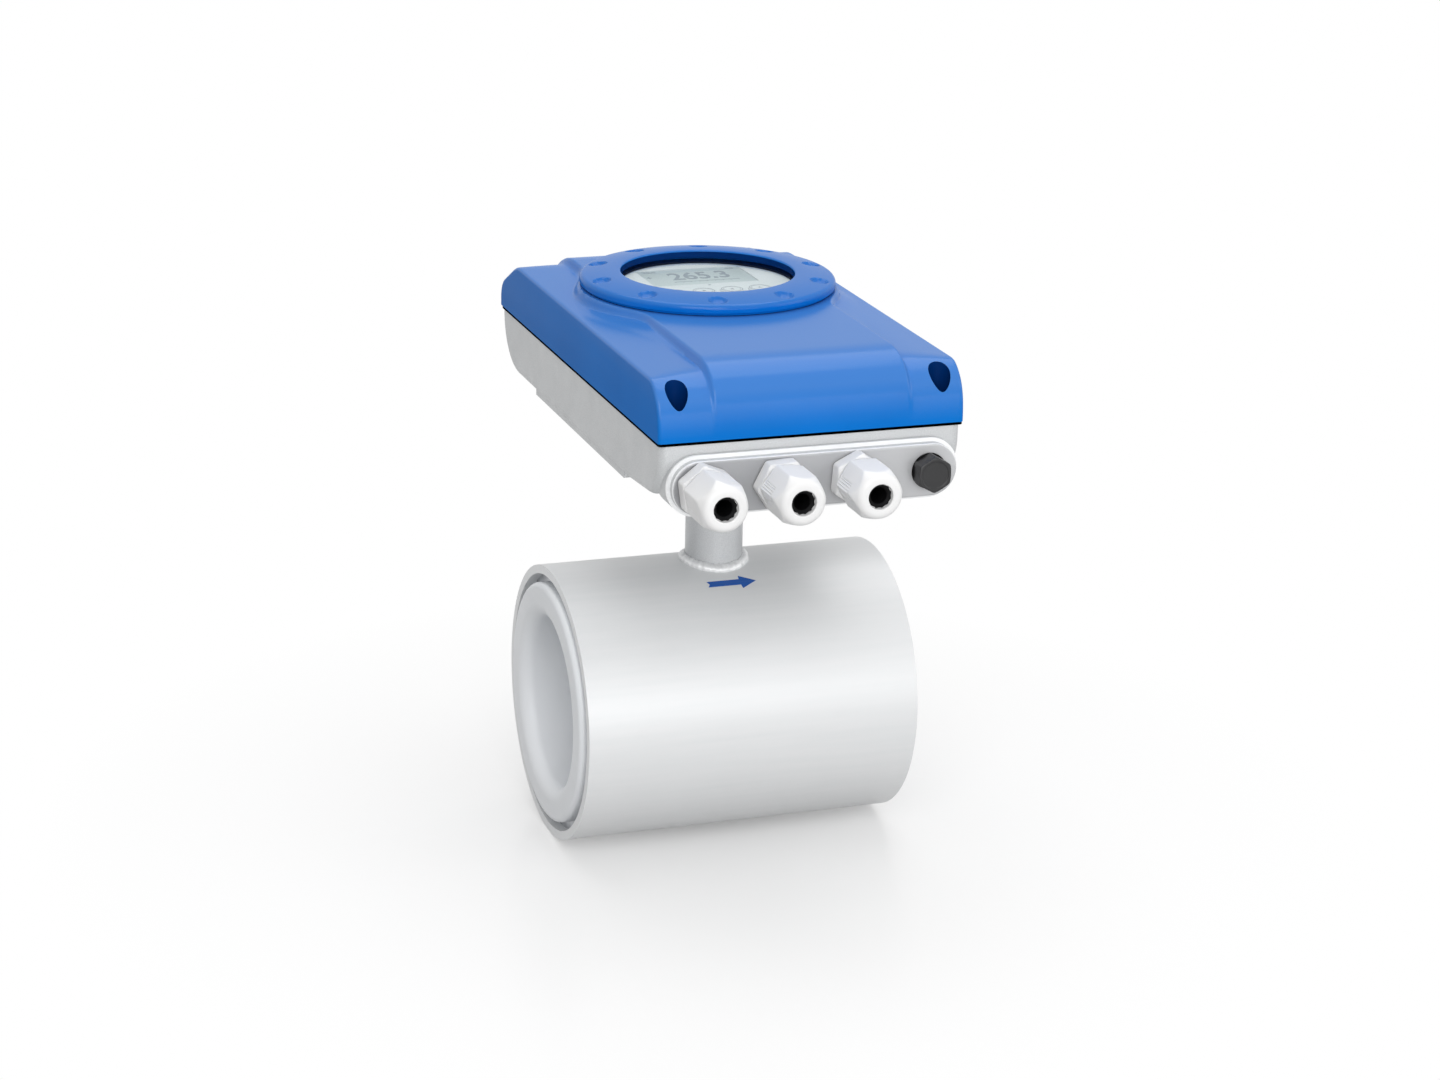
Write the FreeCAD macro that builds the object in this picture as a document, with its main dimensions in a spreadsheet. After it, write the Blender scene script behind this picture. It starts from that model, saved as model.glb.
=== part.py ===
# Wafer electromagnetic flow meter: a lined measuring tube in a steel housing, and a compact signal
# converter on a short neck. Millimetres. X is the pipe axis (+X is the flow direction), Z is up, and
# the origin is the middle of the flow bore. The cable entries look towards -Y.
import FreeCAD
import Part
import Sketcher
import math
import os

from FreeCAD import Placement, Rotation, Vector

doc = FreeCAD.newDocument("flow_meter")
sheet = doc.addObject("Spreadsheet::Sheet", "Sizes")

SIZES = [
    # sensor
    ("face_to_face", 200, "overall length between the liner faces"),
    ("flare_proud", 2.5, "liner flare beyond the end of the housing"),
    ("shell_wall", 5, "steel housing wall"),
    ("coil_space", 17, "ring space between measuring tube and housing"),
    ("bore_diameter", 98, "free bore of the liner"),
    ("liner_wall", 5, "liner inside the measuring tube"),
    ("flare_gap", 5, "ring gap between the liner flare and the housing"),
    ("bore_rounding", 8, "rounding from the flare face into the bore"),
    ("flare_rounding", 3, "outer edge of the flare"),
    ("tube_wall", 3, "measuring tube wall"),
    ("ring_recess", 6, "end ring below the end of the housing"),
    ("ring_thickness", 5, "welded end ring"),
    ("electrode_head", 12, "electrode head diameter"),
    ("electrode_stem", 6, "electrode stem diameter"),
    ("electrode_reach", 11, "stem beyond the measuring tube"),
    ("bush_diameter", 10, "insulating bush through the tube wall"),
    ("bush_flange", 15, "outer flange of the bush"),
    ("bush_rise", 3.5, "flange of the bush above the tube"),
    ("electrode_nut_flats", 10, "nut on the electrode stem"),
    ("electrode_nut_height", 4, "nut on the electrode stem"),
    ("yoke_length", 60, "magnetic return ring along X"),
    ("yoke_thickness", 3.5, "magnetic return ring, radial"),
    ("core_diameter", 16, "pole core"),
    ("coil_diameter", 44, "field coil"),
    ("coil_height", 8.5, "field coil"),
    ("lead_hole", 4.4, "holes for the coil leads"),
    # neck
    ("neck_diameter", 33, "neck tube, outside"),
    ("neck_wall", 3, "neck tube wall"),
    ("weld_leg", 4, "fillet weld round the neck"),
    ("flange_diameter", 64, "flange that carries the converter"),
    ("flange_thickness", 5, "flange that carries the converter"),
    ("flange_screw_circle", 49, "screws of the neck flange"),
    ("flange_screw", 5, "screws of the neck flange"),
    # converter base
    ("parting_height", 195.6, "top of the converter base above the pipe axis"),
    ("base_width", 168, "converter base along X"),
    ("base_front", 150, "front of the base before the pipe axis"),
    ("base_back", 149.5, "back of the base behind the pipe axis"),
    ("base_depth", 34.5, "base from its rim to its underside"),
    ("base_wall", 4, "casting wall"),
    ("base_corner", 5, "upright edges of the base"),
    ("chin_radius", 23, "lower front edge"),
    ("chin_lift", 4, "underside rises towards the front"),
    ("chin_length", 56, "length of the rising underside"),
    ("heel_radius", 33, "lower back edge"),
    ("rail_height", 1.5, "rails under the base"),
    ("rail_width", 14, "rails under the base"),
    ("rail_front", 88, "front end of the rails"),
    ("rail_back", 80, "back end of the rails"),
    ("foot_diameter", 15, "round pads under the front corners"),
    ("foot_height", 3, "round pads under the front corners"),
    ("foot_inset", 16, "round pads from the side of the base"),
    ("foot_setback", 36, "round pads from the front of the base"),
    ("pad_inset", 4.8, "raised panel from the sides of the base"),
    ("pad_height", 29, "raised panel for the cable entries"),
    ("pad_rise", 8, "panel face before the base front"),
    ("pad_drop", 22.3, "panel axis below the rim"),
    ("pad_skirt", 4, "flared skirt round the panel"),
    ("pad_root", 22, "panel into the casting behind the base front"),
    ("skirt_root", 14, "skirt into the casting behind the base front"),
    ("pad_edge", 1.2, "edge rounding of the panel"),
    ("entry_margin", 16.2, "outer entries from the ends of the raised panel"),
    ("post_diameter", 12, "corner posts for the cover screws"),
    ("post_inset_side", 10.5, "corner posts from the side of the base"),
    ("post_inset_front", 6.8, "front posts from the front of the base"),
    ("post_inset_back", 15.5, "back posts from the back of the base"),
    # cover
    ("gasket_thickness", 0.8, "flat gasket between base and cover"),
    ("gasket_inset", 0.3, "gasket behind the outline"),
    ("gasket_width", 4.2, "gasket band"),
    ("cover_overhang", 1, "cover beyond the base all round"),
    ("cover_side", 30.7, "height of the side faces"),
    ("cover_top", 33.3, "height of the middle of the shoulders"),
    ("shoulder_half", 54, "half width where the shoulders level out"),
    ("cover_wall", 4, "cover wall"),
    ("cover_edge", 1.8, "edge rounding of the side faces"),
    ("ridge_edge", 3, "edge rounding of the raised middle"),
    ("nose_radius", 25, "front nose"),
    ("tail_run", 38, "length of the falling back"),
    ("tail_rise", 13.5, "height where the back starts to fall"),
    ("tail_radius", 14, "lower rounding of the back"),
    ("crown_radius", 58, "upper rounding of the back"),
    ("plateau_top", 37.7, "raised middle of the cover"),
    ("plateau_front_half", 54, "half width of the raised middle in front"),
    ("plateau_back_half", 56, "half width of the raised middle behind"),
    ("plateau_radius", 75.5, "round boss under the bezel"),
    ("plateau_blend_front", 40, "blend from the boss to the front ridges"),
    ("plateau_blend_back", 9, "blend from the boss to the back ridges"),
    ("counterbore_diameter", 12, "screw wells in the corners of the cover"),
    ("counterbore_floor", 8, "thickness under the screw heads"),
    ("well_wall", 2.5, "wall round the screw wells"),
    # bezel and window
    ("window_offset", 21.4, "window centre behind the pipe axis"),
    ("window_diameter", 100.8, "clear window"),
    ("bezel_diameter", 144.6, "screwed bezel"),
    ("bezel_rim", 46.2, "top of the bezel above the cover's lower edge"),
    ("bezel_gap", 0.3, "gap between bezel and cover"),
    ("bezel_edge", 7.4, "outer rounding of the bezel"),
    ("bezel_inner_edge", 1.6, "inner rounding of the bezel"),
    ("lip_thickness", 2.4, "bezel lip over the glass"),
    ("collar_diameter", 133, "threaded collar of the bezel"),
    ("collar_depth", 10, "threaded collar of the bezel"),
    ("collar_clearance", 0.08, "thread clearance, radial"),
    ("dimple_circle", 126.2, "circle of the grip dimples"),
    ("dimple_diameter", 10.4, "grip dimples at the surface"),
    ("dimple_depth", 1.9, "grip dimples"),
    ("dimple_count", 10, "grip dimples"),
    ("glass_diameter", 115, "window glass"),
    ("glass_thickness", 3, "window glass"),
    ("glass_gasket_thickness", 0.8, "gasket over the glass"),
    ("glass_gasket_inner", 97.6, "inside of the gasket over the glass"),
    ("retainer_thickness", 3, "ring that holds the glass"),
    ("retainer_inner", 105, "ring that holds the glass"),
    ("glass_clearance", 0.5, "glass in the bezel, radial"),
    ("oring_section", 2.4, "ring seal under the bezel"),
    ("oring_circle", 139.5, "ring seal under the bezel"),
    # display
    ("panel_gap", 1, "display panel in the ring that holds the glass, radial"),
    ("panel_thickness", 2, "display panel"),
    ("panel_below_rim", 7.7, "display panel below the bezel rim"),
    ("panel_skirt", 6, "skirt of the display panel with its face"),
    ("skirt_wall", 2, "skirt of the display panel"),
    ("lcd_width", 62, "display along X"),
    ("lcd_height", 37, "display along Y"),
    ("lcd_behind", 18.5, "display centre behind the window centre"),
    ("lcd_recess", 0.5, "display below the panel face"),
    ("lcd_clearance", 0.15, "display in its opening"),
    ("key_diameter", 13.6, "round keys"),
    ("key_pitch", 16.6, "distance between the keys"),
    ("key_before", 18.5, "keys before the window centre"),
    ("key_rise", 0.9, "keys above the panel"),
    ("key_travel", 0.8, "keys down"),
    ("key_flange", 15, "flange under the panel"),
    ("key_flange_height", 1, "flange under the panel"),
    ("key_clearance", 0.1, "keys in the panel, radial"),
    ("switch_diameter", 6, "switches under the keys"),
    ("board_thickness", 1.6, "circuit boards"),
    ("pillar_diameter", 7, "pillars under the display"),
    ("pillar_inset", 6.3, "pillars from the edge of the display panel"),
    ("stud_diameter", 3, "ends of the pillars"),
    ("stud_reach", 3, "ends of the pillars"),
    # electronics in the base
    ("board_margin", 15, "main board from the sides of the base"),
    ("board_margin_front", 82, "main board from the front of the base"),
    ("board_margin_back", 27.5, "main board from the back of the base"),
    ("board_lift", 8, "main board above the floor"),
    ("board_post", 9, "posts under the main board"),
    ("board_post_inset", 6, "posts from the edge of the main board"),
    ("board_screw", 3, "screws of the main board"),
    ("terminal_width", 34, "terminal block along X"),
    ("terminal_depth", 13, "terminal block along Y"),
    ("terminal_height", 13, "terminal block"),
    ("terminal_setback", 16, "terminals from the front of the main board"),
    ("terminal_ways", 4, "ways of a terminal block"),
    ("transformer_width", 44, "mains transformer along X"),
    ("transformer_depth", 36, "mains transformer along Y"),
    ("transformer_height", 30, "mains transformer"),
    ("transformer_setback", 8, "transformer from the back of the main board"),
    ("bobbin_overhang", 5, "bobbin beyond the core"),
    ("capacitor_diameter", 16, "smoothing capacitors"),
    ("capacitor_height", 25, "smoothing capacitors"),
    ("capacitor_setback", 26, "capacitors from the back of the main board"),
    # cable entries
    ("gland_thread", 20, "gland thread"),
    ("gland_bore", 14, "bore of the gland body"),
    ("washer_thickness", 1, "sealing washers under glands and plug"),
    ("washer_diameter", 24.5, "sealing washers"),
    ("body_flats", 26, "hexagon of the gland body"),
    ("body_hex", 8.5, "hexagon of the gland body, length"),
    ("groove_width", 1.6, "groove between body and dome"),
    ("groove_diameter", 22.6, "groove between body and dome"),
    ("spigot_diameter", 20.4, "threaded spigot for the dome"),
    ("spigot_length", 13, "threaded spigot for the dome"),
    ("dome_clearance", 0.05, "thread clearance, radial"),
    ("dome_flats", 25.4, "hexagon of the dome nut"),
    ("dome_hex", 14, "hexagon of the dome nut, length"),
    ("dome_length", 26.5, "dome nut, overall"),
    ("dome_hole", 13.4, "opening of the dome nut"),
    ("dome_face", 17.4, "flat end of the dome nut"),
    ("dome_shoulder", 6, "rounding from the flats into the dome"),
    ("dome_edge", 4.2, "rounding round the face of the dome"),
    ("seal_bore", 9, "cable hole of the seal"),
    ("seal_reach", 8, "seal inside the spigot"),
    ("seal_clearance", 0.1, "seal in the gland body, radial"),
    ("plug_flats", 19.4, "hexagon of the blanking plug"),
    ("plug_head", 9.5, "head of the blanking plug"),
    ("plug_thread", 16, "thread of the blanking plug"),
    ("plug_chamfer", 1.5, "face of the blanking plug"),
    # fasteners
    ("cover_screw", 5, "cover screws"),
    ("cover_screw_head", 8.5, "cover screw heads"),
    ("cover_screw_head_height", 5, "cover screw heads"),
    ("cover_screw_reach", 14, "cover screws in the base"),
]

for row, (alias, number, note) in enumerate(SIZES, 1):
    sheet.set("A%d" % row, alias)
    sheet.set("B%d" % row, str(number))
    sheet.set("C%d" % row, note)
    sheet.setAlias("B%d" % row, alias)
doc.recompute()


class Size:
    """A length with the spreadsheet formula that gives it."""

    def __init__(self, value, text):
        self.value = value
        self.text = text

    def __float__(self):
        return float(self.value)

    def __add__(self, other):
        other = size_of(other)
        return Size(self.value + other.value, "(%s + %s)" % (self.text, other.text))

    def __sub__(self, other):
        other = size_of(other)
        return Size(self.value - other.value, "(%s - %s)" % (self.text, other.text))

    def __mul__(self, other):
        other = size_of(other)
        return Size(self.value * other.value, "(%s * %s)" % (self.text, other.text))

    def __truediv__(self, other):
        other = size_of(other)
        return Size(self.value / other.value, "(%s / %s)" % (self.text, other.text))

    def __radd__(self, other):
        return size_of(other) + self

    def __rsub__(self, other):
        return size_of(other) - self

    def __rmul__(self, other):
        return size_of(other) * self

    def __neg__(self):
        return Size(-self.value, "(0 - %s)" % self.text)


def size_of(number):
    if isinstance(number, Size):
        return number
    return Size(float(number), "%.6f" % number)


class SheetSizes:
    """Reads a named size from the sheet as a Size."""

    def __getattr__(self, alias):
        return Size(float(sheet.get(alias)), "Sizes." + alias)


D = SheetSizes()
parts = []


def bind(obj, prop, size, unit=""):
    size = size_of(size)
    if "Sizes." in size.text:
        obj.setExpression(prop, size.text + unit)
    else:
        setattr(obj, prop, float(size))
    return obj


def place(obj, x=0, y=0, z=0, turn=None):
    if turn is None:
        turn = Rotation()
    x, y, z = size_of(x), size_of(y), size_of(z)
    obj.Placement = Placement(Vector(float(x), float(y), float(z)), turn)
    for axis, size in (("x", x), ("y", y), ("z", z)):
        if "Sizes." in size.text:
            obj.setExpression("Placement.Base." + axis, size.text)
    return obj


def box(name, x0, x1, y0, y1, z0, z1):
    obj = doc.addObject("Part::Box", name)
    x0, y0, z0 = size_of(x0), size_of(y0), size_of(z0)
    bind(obj, "Length", x1 - x0)
    bind(obj, "Width", y1 - y0)
    bind(obj, "Height", z1 - z0)
    return place(obj, x0, y0, z0)


ALONG = {
    "x": Rotation(Vector(0, 1, 0), 90),
    "y": Rotation(Vector(1, 0, 0), -90),
    "-y": Rotation(Vector(1, 0, 0), 90),
    "z": Rotation(),
}


def cylinder(name, radius, length, x=0, y=0, z=0, along="z"):
    obj = doc.addObject("Part::Cylinder", name)
    bind(obj, "Radius", radius)
    bind(obj, "Height", length)
    return place(obj, x, y, z, ALONG[along])


def prism(name, flats, length, x=0, y=0, z=0, along="z", spin=0):
    obj = doc.addObject("Part::Prism", name)
    obj.Polygon = 6
    bind(obj, "Circumradius", size_of(flats) / (2 * math.cos(math.pi / 6)))
    bind(obj, "Height", length)
    return place(obj, x, y, z, ALONG[along].multiply(Rotation(Vector(0, 0, 1), spin)))


def cut(name, base, tool):
    obj = doc.addObject("Part::Cut", name)
    obj.Base = base
    obj.Tool = tool
    return obj


def fuse(name, shapes):
    obj = doc.addObject("Part::MultiFuse", name)
    obj.Shapes = shapes
    obj.Refine = True
    return obj


def common(name, shapes):
    obj = doc.addObject("Part::MultiCommon", name)
    obj.Shapes = shapes
    return obj


def group(name, shapes):
    obj = doc.addObject("Part::Compound", name)
    obj.Links = shapes
    return obj


def node(obj, label):
    obj.Label = label
    parts.append(obj)
    return obj


def part_body(name):
    return doc.addObject("PartDesign::Body", name)


def origin_plane(body, role):
    for feature in body.Origin.OriginFeatures:
        if feature.Role == role:
            return feature
    raise ValueError(role)


def attach(body, name, role, lift=0):
    sketch = body.newObject("Sketcher::SketchObject", name)
    sketch.AttachmentSupport = (origin_plane(body, role), [""])
    sketch.MapMode = "FlatFace"
    lift = size_of(lift)
    if float(lift) != 0:
        sketch.AttachmentOffset = Placement(Vector(0, 0, float(lift)), Rotation())
        sketch.setExpression("AttachmentOffset.Base.z", lift.text)
    return sketch


def bind_constraint(sketch, index, size):
    size = size_of(size)
    if "Sizes." in size.text:
        sketch.setExpression("Constraints[%d]" % index, size.text)


def pin(sketch, geometry, end, u, v):
    """Ties a point of the sketch to its distances from the sketch origin."""
    for kind, size in (("DistanceX", u), ("DistanceY", v)):
        size = size_of(size)
        index = sketch.addConstraint(
            Sketcher.Constraint(kind, -1, 1, geometry, end, float(size)))
        bind_constraint(sketch, index, size)


def outline(sketch, corners):
    """A closed outline of straight lines. A corner is (u, v) or, rounded, (u, v, radius)."""
    count = len(corners)
    points = [Vector(float(size_of(c[0])), float(size_of(c[1])), 0) for c in corners]
    radii = [float(size_of(c[2])) if len(c) > 2 else 0.0 for c in corners]
    entry, leave, middle, turn = [], [], [], []
    for i in range(count):
        back = (points[i - 1] - points[i]).normalize()
        ahead = (points[(i + 1) % count] - points[i]).normalize()
        half = back.getAngle(ahead) / 2
        reach = radii[i] / math.tan(half) if radii[i] else 0.0
        entry.append(points[i] + back * reach)
        leave.append(points[i] + ahead * reach)
        bisector = (back + ahead).normalize() if radii[i] else Vector()
        middle.append(points[i] + bisector * (radii[i] / math.sin(half) if radii[i] else 0.0))
        turn.append(back.cross(ahead).z < 0)
    lines = []
    for i in range(count):
        segment = Part.LineSegment(leave[i], entry[(i + 1) % count])
        lines.append(sketch.addGeometry(segment, False))
    for i in range(count):
        before, after = lines[i - 1], lines[i]
        if not radii[i]:
            sketch.addConstraint(Sketcher.Constraint("Coincident", before, 2, after, 1))
            pin(sketch, after, 1, corners[i][0], corners[i][1])
            continue
        start, end = (entry[i], leave[i]) if turn[i] else (leave[i], entry[i])
        first = math.atan2(start.y - middle[i].y, start.x - middle[i].x)
        last = math.atan2(end.y - middle[i].y, end.x - middle[i].x)
        if last < first:
            last += 2 * math.pi
        circle = Part.Circle(middle[i], Vector(0, 0, 1), radii[i])
        arc = sketch.addGeometry(Part.ArcOfCircle(circle, first, last), False)
        near, far = (1, 2) if turn[i] else (2, 1)
        sketch.addConstraint(Sketcher.Constraint("Tangent", before, 2, arc, near))
        sketch.addConstraint(Sketcher.Constraint("Tangent", arc, far, after, 1))
        index = sketch.addConstraint(Sketcher.Constraint("Radius", arc, radii[i]))
        bind_constraint(sketch, index, corners[i][2])
        corner = sketch.addGeometry(Part.Point(points[i]), True)
        pin(sketch, corner, 1, corners[i][0], corners[i][1])
        sketch.addConstraint(Sketcher.Constraint("PointOnObject", corner, 1, before))
        sketch.addConstraint(Sketcher.Constraint("PointOnObject", corner, 1, after))


def turned(name, corners, axis="z"):
    """A body of revolution round its own Z or X axis from an outline of (radius, height)."""
    body = part_body(name)
    if axis == "z":
        sketch = attach(body, name + "_profile", "XZ_Plane")
        outline(sketch, corners)
    else:
        sketch = attach(body, name + "_profile", "XY_Plane")
        outline(sketch, [(c[1], c[0]) + tuple(c[2:]) for c in corners])
    feature = body.newObject("PartDesign::Revolution", name + "_turned")
    feature.Profile = sketch
    feature.ReferenceAxis = (sketch, ["V_Axis" if axis == "z" else "H_Axis"])
    feature.Angle = 360
    body.Tip = feature
    return body


def padded(name, role, corners, length, lift=0, both=True):
    """A body made by padding an outline, both ways from its plane or one way."""
    body = part_body(name)
    sketch = attach(body, name + "_profile", role, lift)
    outline(sketch, corners)
    feature = body.newObject("PartDesign::Pad", name + "_pad")
    feature.Profile = sketch
    feature.Length = float(size_of(length))
    feature.setExpression("Length", size_of(length).text)
    if both:
        feature.SideType = "Symmetric"
    body.Tip = feature
    return body


# ---------------------------------------------------------------- sensor
bore_r = D.bore_diameter / 2
tube_in_r = bore_r + D.liner_wall
tube_out_r = tube_in_r + D.tube_wall
shell_in_r = tube_out_r + D.coil_space
shell_out_r = shell_in_r + D.shell_wall
shell_end = D.face_to_face / 2 - D.flare_proud
shell_length = shell_end * 2
ring_face = shell_end - D.ring_recess
neck_r = D.neck_diameter / 2
neck_in_r = neck_r - D.neck_wall
base_bottom = D.parting_height - D.base_depth
flange_bottom = base_bottom - D.flange_thickness

shell_blank = turned("shell_blank", [
    (shell_in_r, -shell_end), (shell_out_r, -shell_end), (shell_out_r, shell_end),
    (shell_in_r, shell_end)], "x")
shell_opening = cylinder("shell_opening", neck_in_r, shell_out_r)
node(cut("sensor_housing", shell_blank, shell_opening), "sensor_housing")

for side, label in ((-1, "inlet_end_ring"), (1, "outlet_end_ring")):
    ring = turned(label + "_body", [
        (tube_out_r, side * (ring_face - D.ring_thickness)),
        (shell_in_r, side * (ring_face - D.ring_thickness)),
        (shell_in_r, side * ring_face), (tube_out_r, side * ring_face)], "x")
    node(ring, label)

face = D.face_to_face / 2
flare_r = shell_in_r - D.flare_gap
liner_blank = turned("liner_blank", [
    (bore_r, -face, D.bore_rounding), (flare_r, -face, D.flare_rounding),
    (flare_r, -ring_face), (tube_in_r, -ring_face), (tube_in_r, ring_face),
    (flare_r, ring_face), (flare_r, face, D.flare_rounding),
    (bore_r, face, D.bore_rounding)], "x")
head_hole = cylinder("head_hole", D.electrode_head / 2, 4 * bore_r, y=-2 * bore_r, along="y")
node(cut("tube_liner", liner_blank, head_hole), "tube_liner")

tube_blank = turned("tube_blank", [
    (tube_in_r, -ring_face), (tube_out_r, -ring_face), (tube_out_r, ring_face),
    (tube_in_r, ring_face)], "x")
bush_hole = cylinder("bush_hole", D.bush_diameter / 2, 4 * bore_r, y=-2 * bore_r, along="y")
node(cut("measuring_tube", tube_blank, bush_hole), "measuring_tube")

# electrodes, their bushes and nuts, one set at each end of the horizontal diameter
nut_seat = tube_out_r + D.bush_rise
stem_end = tube_out_r + D.electrode_reach
electrodes, bushes, nuts = [], [], []
for side, along in ((1, "y"), (-1, "-y")):
    tag = "back" if side > 0 else "front"
    head = cylinder("head_" + tag, D.electrode_head / 2, D.liner_wall + 1, y=side * bore_r, along=along)
    inside = cylinder("head_limit_" + tag, tube_in_r, shell_length, x=-shell_end, along="x")
    seated = common("head_seated_" + tag, [head, inside])
    stem = cylinder("stem_" + tag, D.electrode_stem / 2, stem_end - bore_r - 1, y=side * (bore_r + 1),
                    along=along)
    electrodes.append(fuse("electrode_" + tag, [seated, stem]))
    sleeve = cylinder("sleeve_" + tag, D.bush_diameter / 2, nut_seat - tube_in_r + 1,
                      y=side * (tube_in_r - 1), along=along)
    sleeve_limit = cylinder("sleeve_limit_" + tag, tube_in_r, shell_length, x=-shell_end, along="x")
    sleeve_cut = cut("sleeve_cut_" + tag, sleeve, sleeve_limit)
    collar = cylinder("bush_collar_" + tag, D.bush_flange / 2, D.bush_rise + 1,
                      y=side * (tube_out_r - 1), along=along)
    collar_limit = cylinder("collar_limit_" + tag, tube_out_r, shell_length, x=-shell_end, along="x")
    collar_cut = cut("collar_cut_" + tag, collar, collar_limit)
    bush = fuse("bush_solid_" + tag, [sleeve_cut, collar_cut])
    bush_bore = cylinder("bush_bore_" + tag, D.electrode_stem / 2, 2 * bore_r, along=along)
    bushes.append(cut("bush_" + tag, bush, bush_bore))
    nut = prism("nut_blank_" + tag, D.electrode_nut_flats, D.electrode_nut_height, y=side * nut_seat,
                along=along)
    nut_bore = cylinder("nut_bore_" + tag, D.electrode_stem / 2, 2 * bore_r, along=along)
    nuts.append(cut("nut_" + tag, nut, nut_bore))
node(group("electrode_pair", electrodes), "electrodes")
node(group("bush_pair", bushes), "electrode_bushes")
node(group("nut_pair", nuts), "electrode_nuts")

# magnet: a core and a coil above and below the tube, closed by a ring against the housing
yoke_in_r = shell_in_r - D.yoke_thickness
yoke_blank = turned("yoke_blank", [
    (yoke_in_r, -D.yoke_length / 2), (shell_in_r, -D.yoke_length / 2),
    (shell_in_r, D.yoke_length / 2), (yoke_in_r, D.yoke_length / 2)], "x")
lead_offset = (D.core_diameter + D.lead_hole) / 2 + 0.6
lead_holes = fuse("lead_holes", [
    cylinder("lead_hole_back", D.lead_hole / 2, shell_out_r, y=lead_offset),
    cylinder("lead_hole_front", D.lead_hole / 2, shell_out_r, y=-lead_offset)])
node(cut("yoke_ring", yoke_blank, lead_holes), "magnet_yoke")

cores, coils = [], []
for side, tag in ((1, "upper"), (-1, "lower")):
    low = tube_out_r - 3 if side > 0 else -yoke_in_r - 1
    reach = yoke_in_r - tube_out_r + 4
    stub = cylinder("core_stub_" + tag, D.core_diameter / 2, reach, z=low)
    limit = cylinder("core_limit_" + tag, yoke_in_r, D.yoke_length, x=-D.yoke_length / 2, along="x")
    tube_space = cylinder("core_tube_" + tag, tube_out_r, D.yoke_length, x=-D.yoke_length / 2, along="x")
    cores.append(cut("core_" + tag, common("core_trim_" + tag, [stub, limit]), tube_space))
    coil_low = tube_out_r if side > 0 else -tube_out_r - D.coil_height
    winding = cylinder("winding_" + tag, D.coil_diameter / 2, D.coil_height, z=coil_low)
    window = cylinder("winding_hole_" + tag, D.core_diameter / 2, D.coil_height, z=coil_low)
    coils.append(cut("coil_" + tag, winding, window))
node(group("core_pair", cores), "pole_cores")
node(group("coil_pair", coils), "field_coils")

# ---------------------------------------------------------------- neck
neck_blank = turned("neck_blank", [
    (neck_in_r, shell_in_r), (neck_r, shell_in_r), (neck_r, base_bottom), (neck_in_r, base_bottom)])
neck_saddle = cylinder("neck_saddle", shell_out_r, shell_length, x=-shell_end, along="x")
flange_holes = []
for i in range(4):
    angle = math.radians(45 + 90 * i)
    flange_holes.append(cylinder(
        "flange_hole_%d" % i, D.flange_screw / 2, D.flange_thickness,
        x=D.flange_screw_circle / 2 * math.cos(angle), y=D.flange_screw_circle / 2 * math.sin(angle),
        z=flange_bottom))
node(cut("neck_on_saddle", neck_blank, neck_saddle), "neck_tube")
plate = turned("flange_plate", [
    (neck_r, flange_bottom), (D.flange_diameter / 2, flange_bottom, 1),
    (D.flange_diameter / 2, base_bottom), (neck_r, base_bottom)])
node(cut("flange_drilled", plate, fuse("flange_holes", flange_holes)), "neck_flange")


def weld_shape():
    """The fillet between two crossing cylinders, without the cylinders themselves."""
    shell = Part.makeCylinder(float(shell_out_r), float(D.neck_diameter) * 2,
                              Vector(-float(D.neck_diameter), 0, 0), Vector(1, 0, 0))
    stub = Part.makeCylinder(float(neck_r), float(shell_out_r + D.neck_diameter))
    joined = shell.fuse(stub).removeSplitter()
    seam = []
    for edge in joined.Edges:
        points = edge.discretize(7)
        on_neck = all(abs(math.hypot(p.x, p.y) - float(neck_r)) < 0.01 for p in points)
        on_shell = all(abs(math.hypot(p.y, p.z) - float(shell_out_r)) < 0.01 for p in points)
        if on_neck and on_shell:
            seam.append(edge)
    filleted = joined.makeFillet(float(D.weld_leg), seam)
    bead = filleted.cut(shell).cut(stub)
    return max(bead.Solids, key=lambda solid: solid.Volume)


weld = doc.addObject("Part::Feature", "neck_weld")
weld.Shape = weld_shape()
node(weld, "neck_weld")

flange_screws = []
screw_r = D.flange_screw / 2
for i in range(4):
    angle = math.radians(45 + 90 * i)
    sx = D.flange_screw_circle / 2 * math.cos(angle)
    sy = D.flange_screw_circle / 2 * math.sin(angle)
    flange_screws.append(fuse("flange_screw_%d" % i, [
        cylinder("flange_shank_%d" % i, screw_r, D.flange_thickness + D.base_wall, x=sx, y=sy,
                 z=flange_bottom),
        prism("flange_head_%d" % i, D.flange_screw * 1.6, D.flange_screw * 0.7, x=sx, y=sy,
              z=flange_bottom - D.flange_screw * 0.7)]))
node(group("flange_screw_set", flange_screws), "neck_screws")

# ---------------------------------------------------------------- converter base
rim = D.parting_height
half_base = D.base_width / 2
wall = D.base_wall


def base_form(name, inset, top):
    """The base casting as a side profile padded across, seen from the side (Y, Z)."""
    front = -(D.base_front - inset)
    back = D.base_back - inset
    bottom = base_bottom + inset
    body = padded(name, "YZ_Plane", [
        (front, top), (front, bottom + D.chin_lift, D.chin_radius - inset),
        (front + D.chin_length, bottom), (back, bottom, D.heel_radius - inset), (back, top)],
        D.base_width - 2 * inset)
    return body


def edge_names(shape, test):
    names = []
    for number, edge in enumerate(shape.Edges, 1):
        if test(edge):
            names.append("Edge%d" % number)
    return names


def side_edges(half_width, lowest):
    """Edges that bound the flat side faces, except along the open rim."""
    def test(edge):
        points = edge.discretize(5)
        on_side = all(abs(abs(p.x) - half_width) < 0.01 for p in points)
        return on_side and not all(abs(p.z - lowest) < 0.01 for p in points)
    return test


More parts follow.
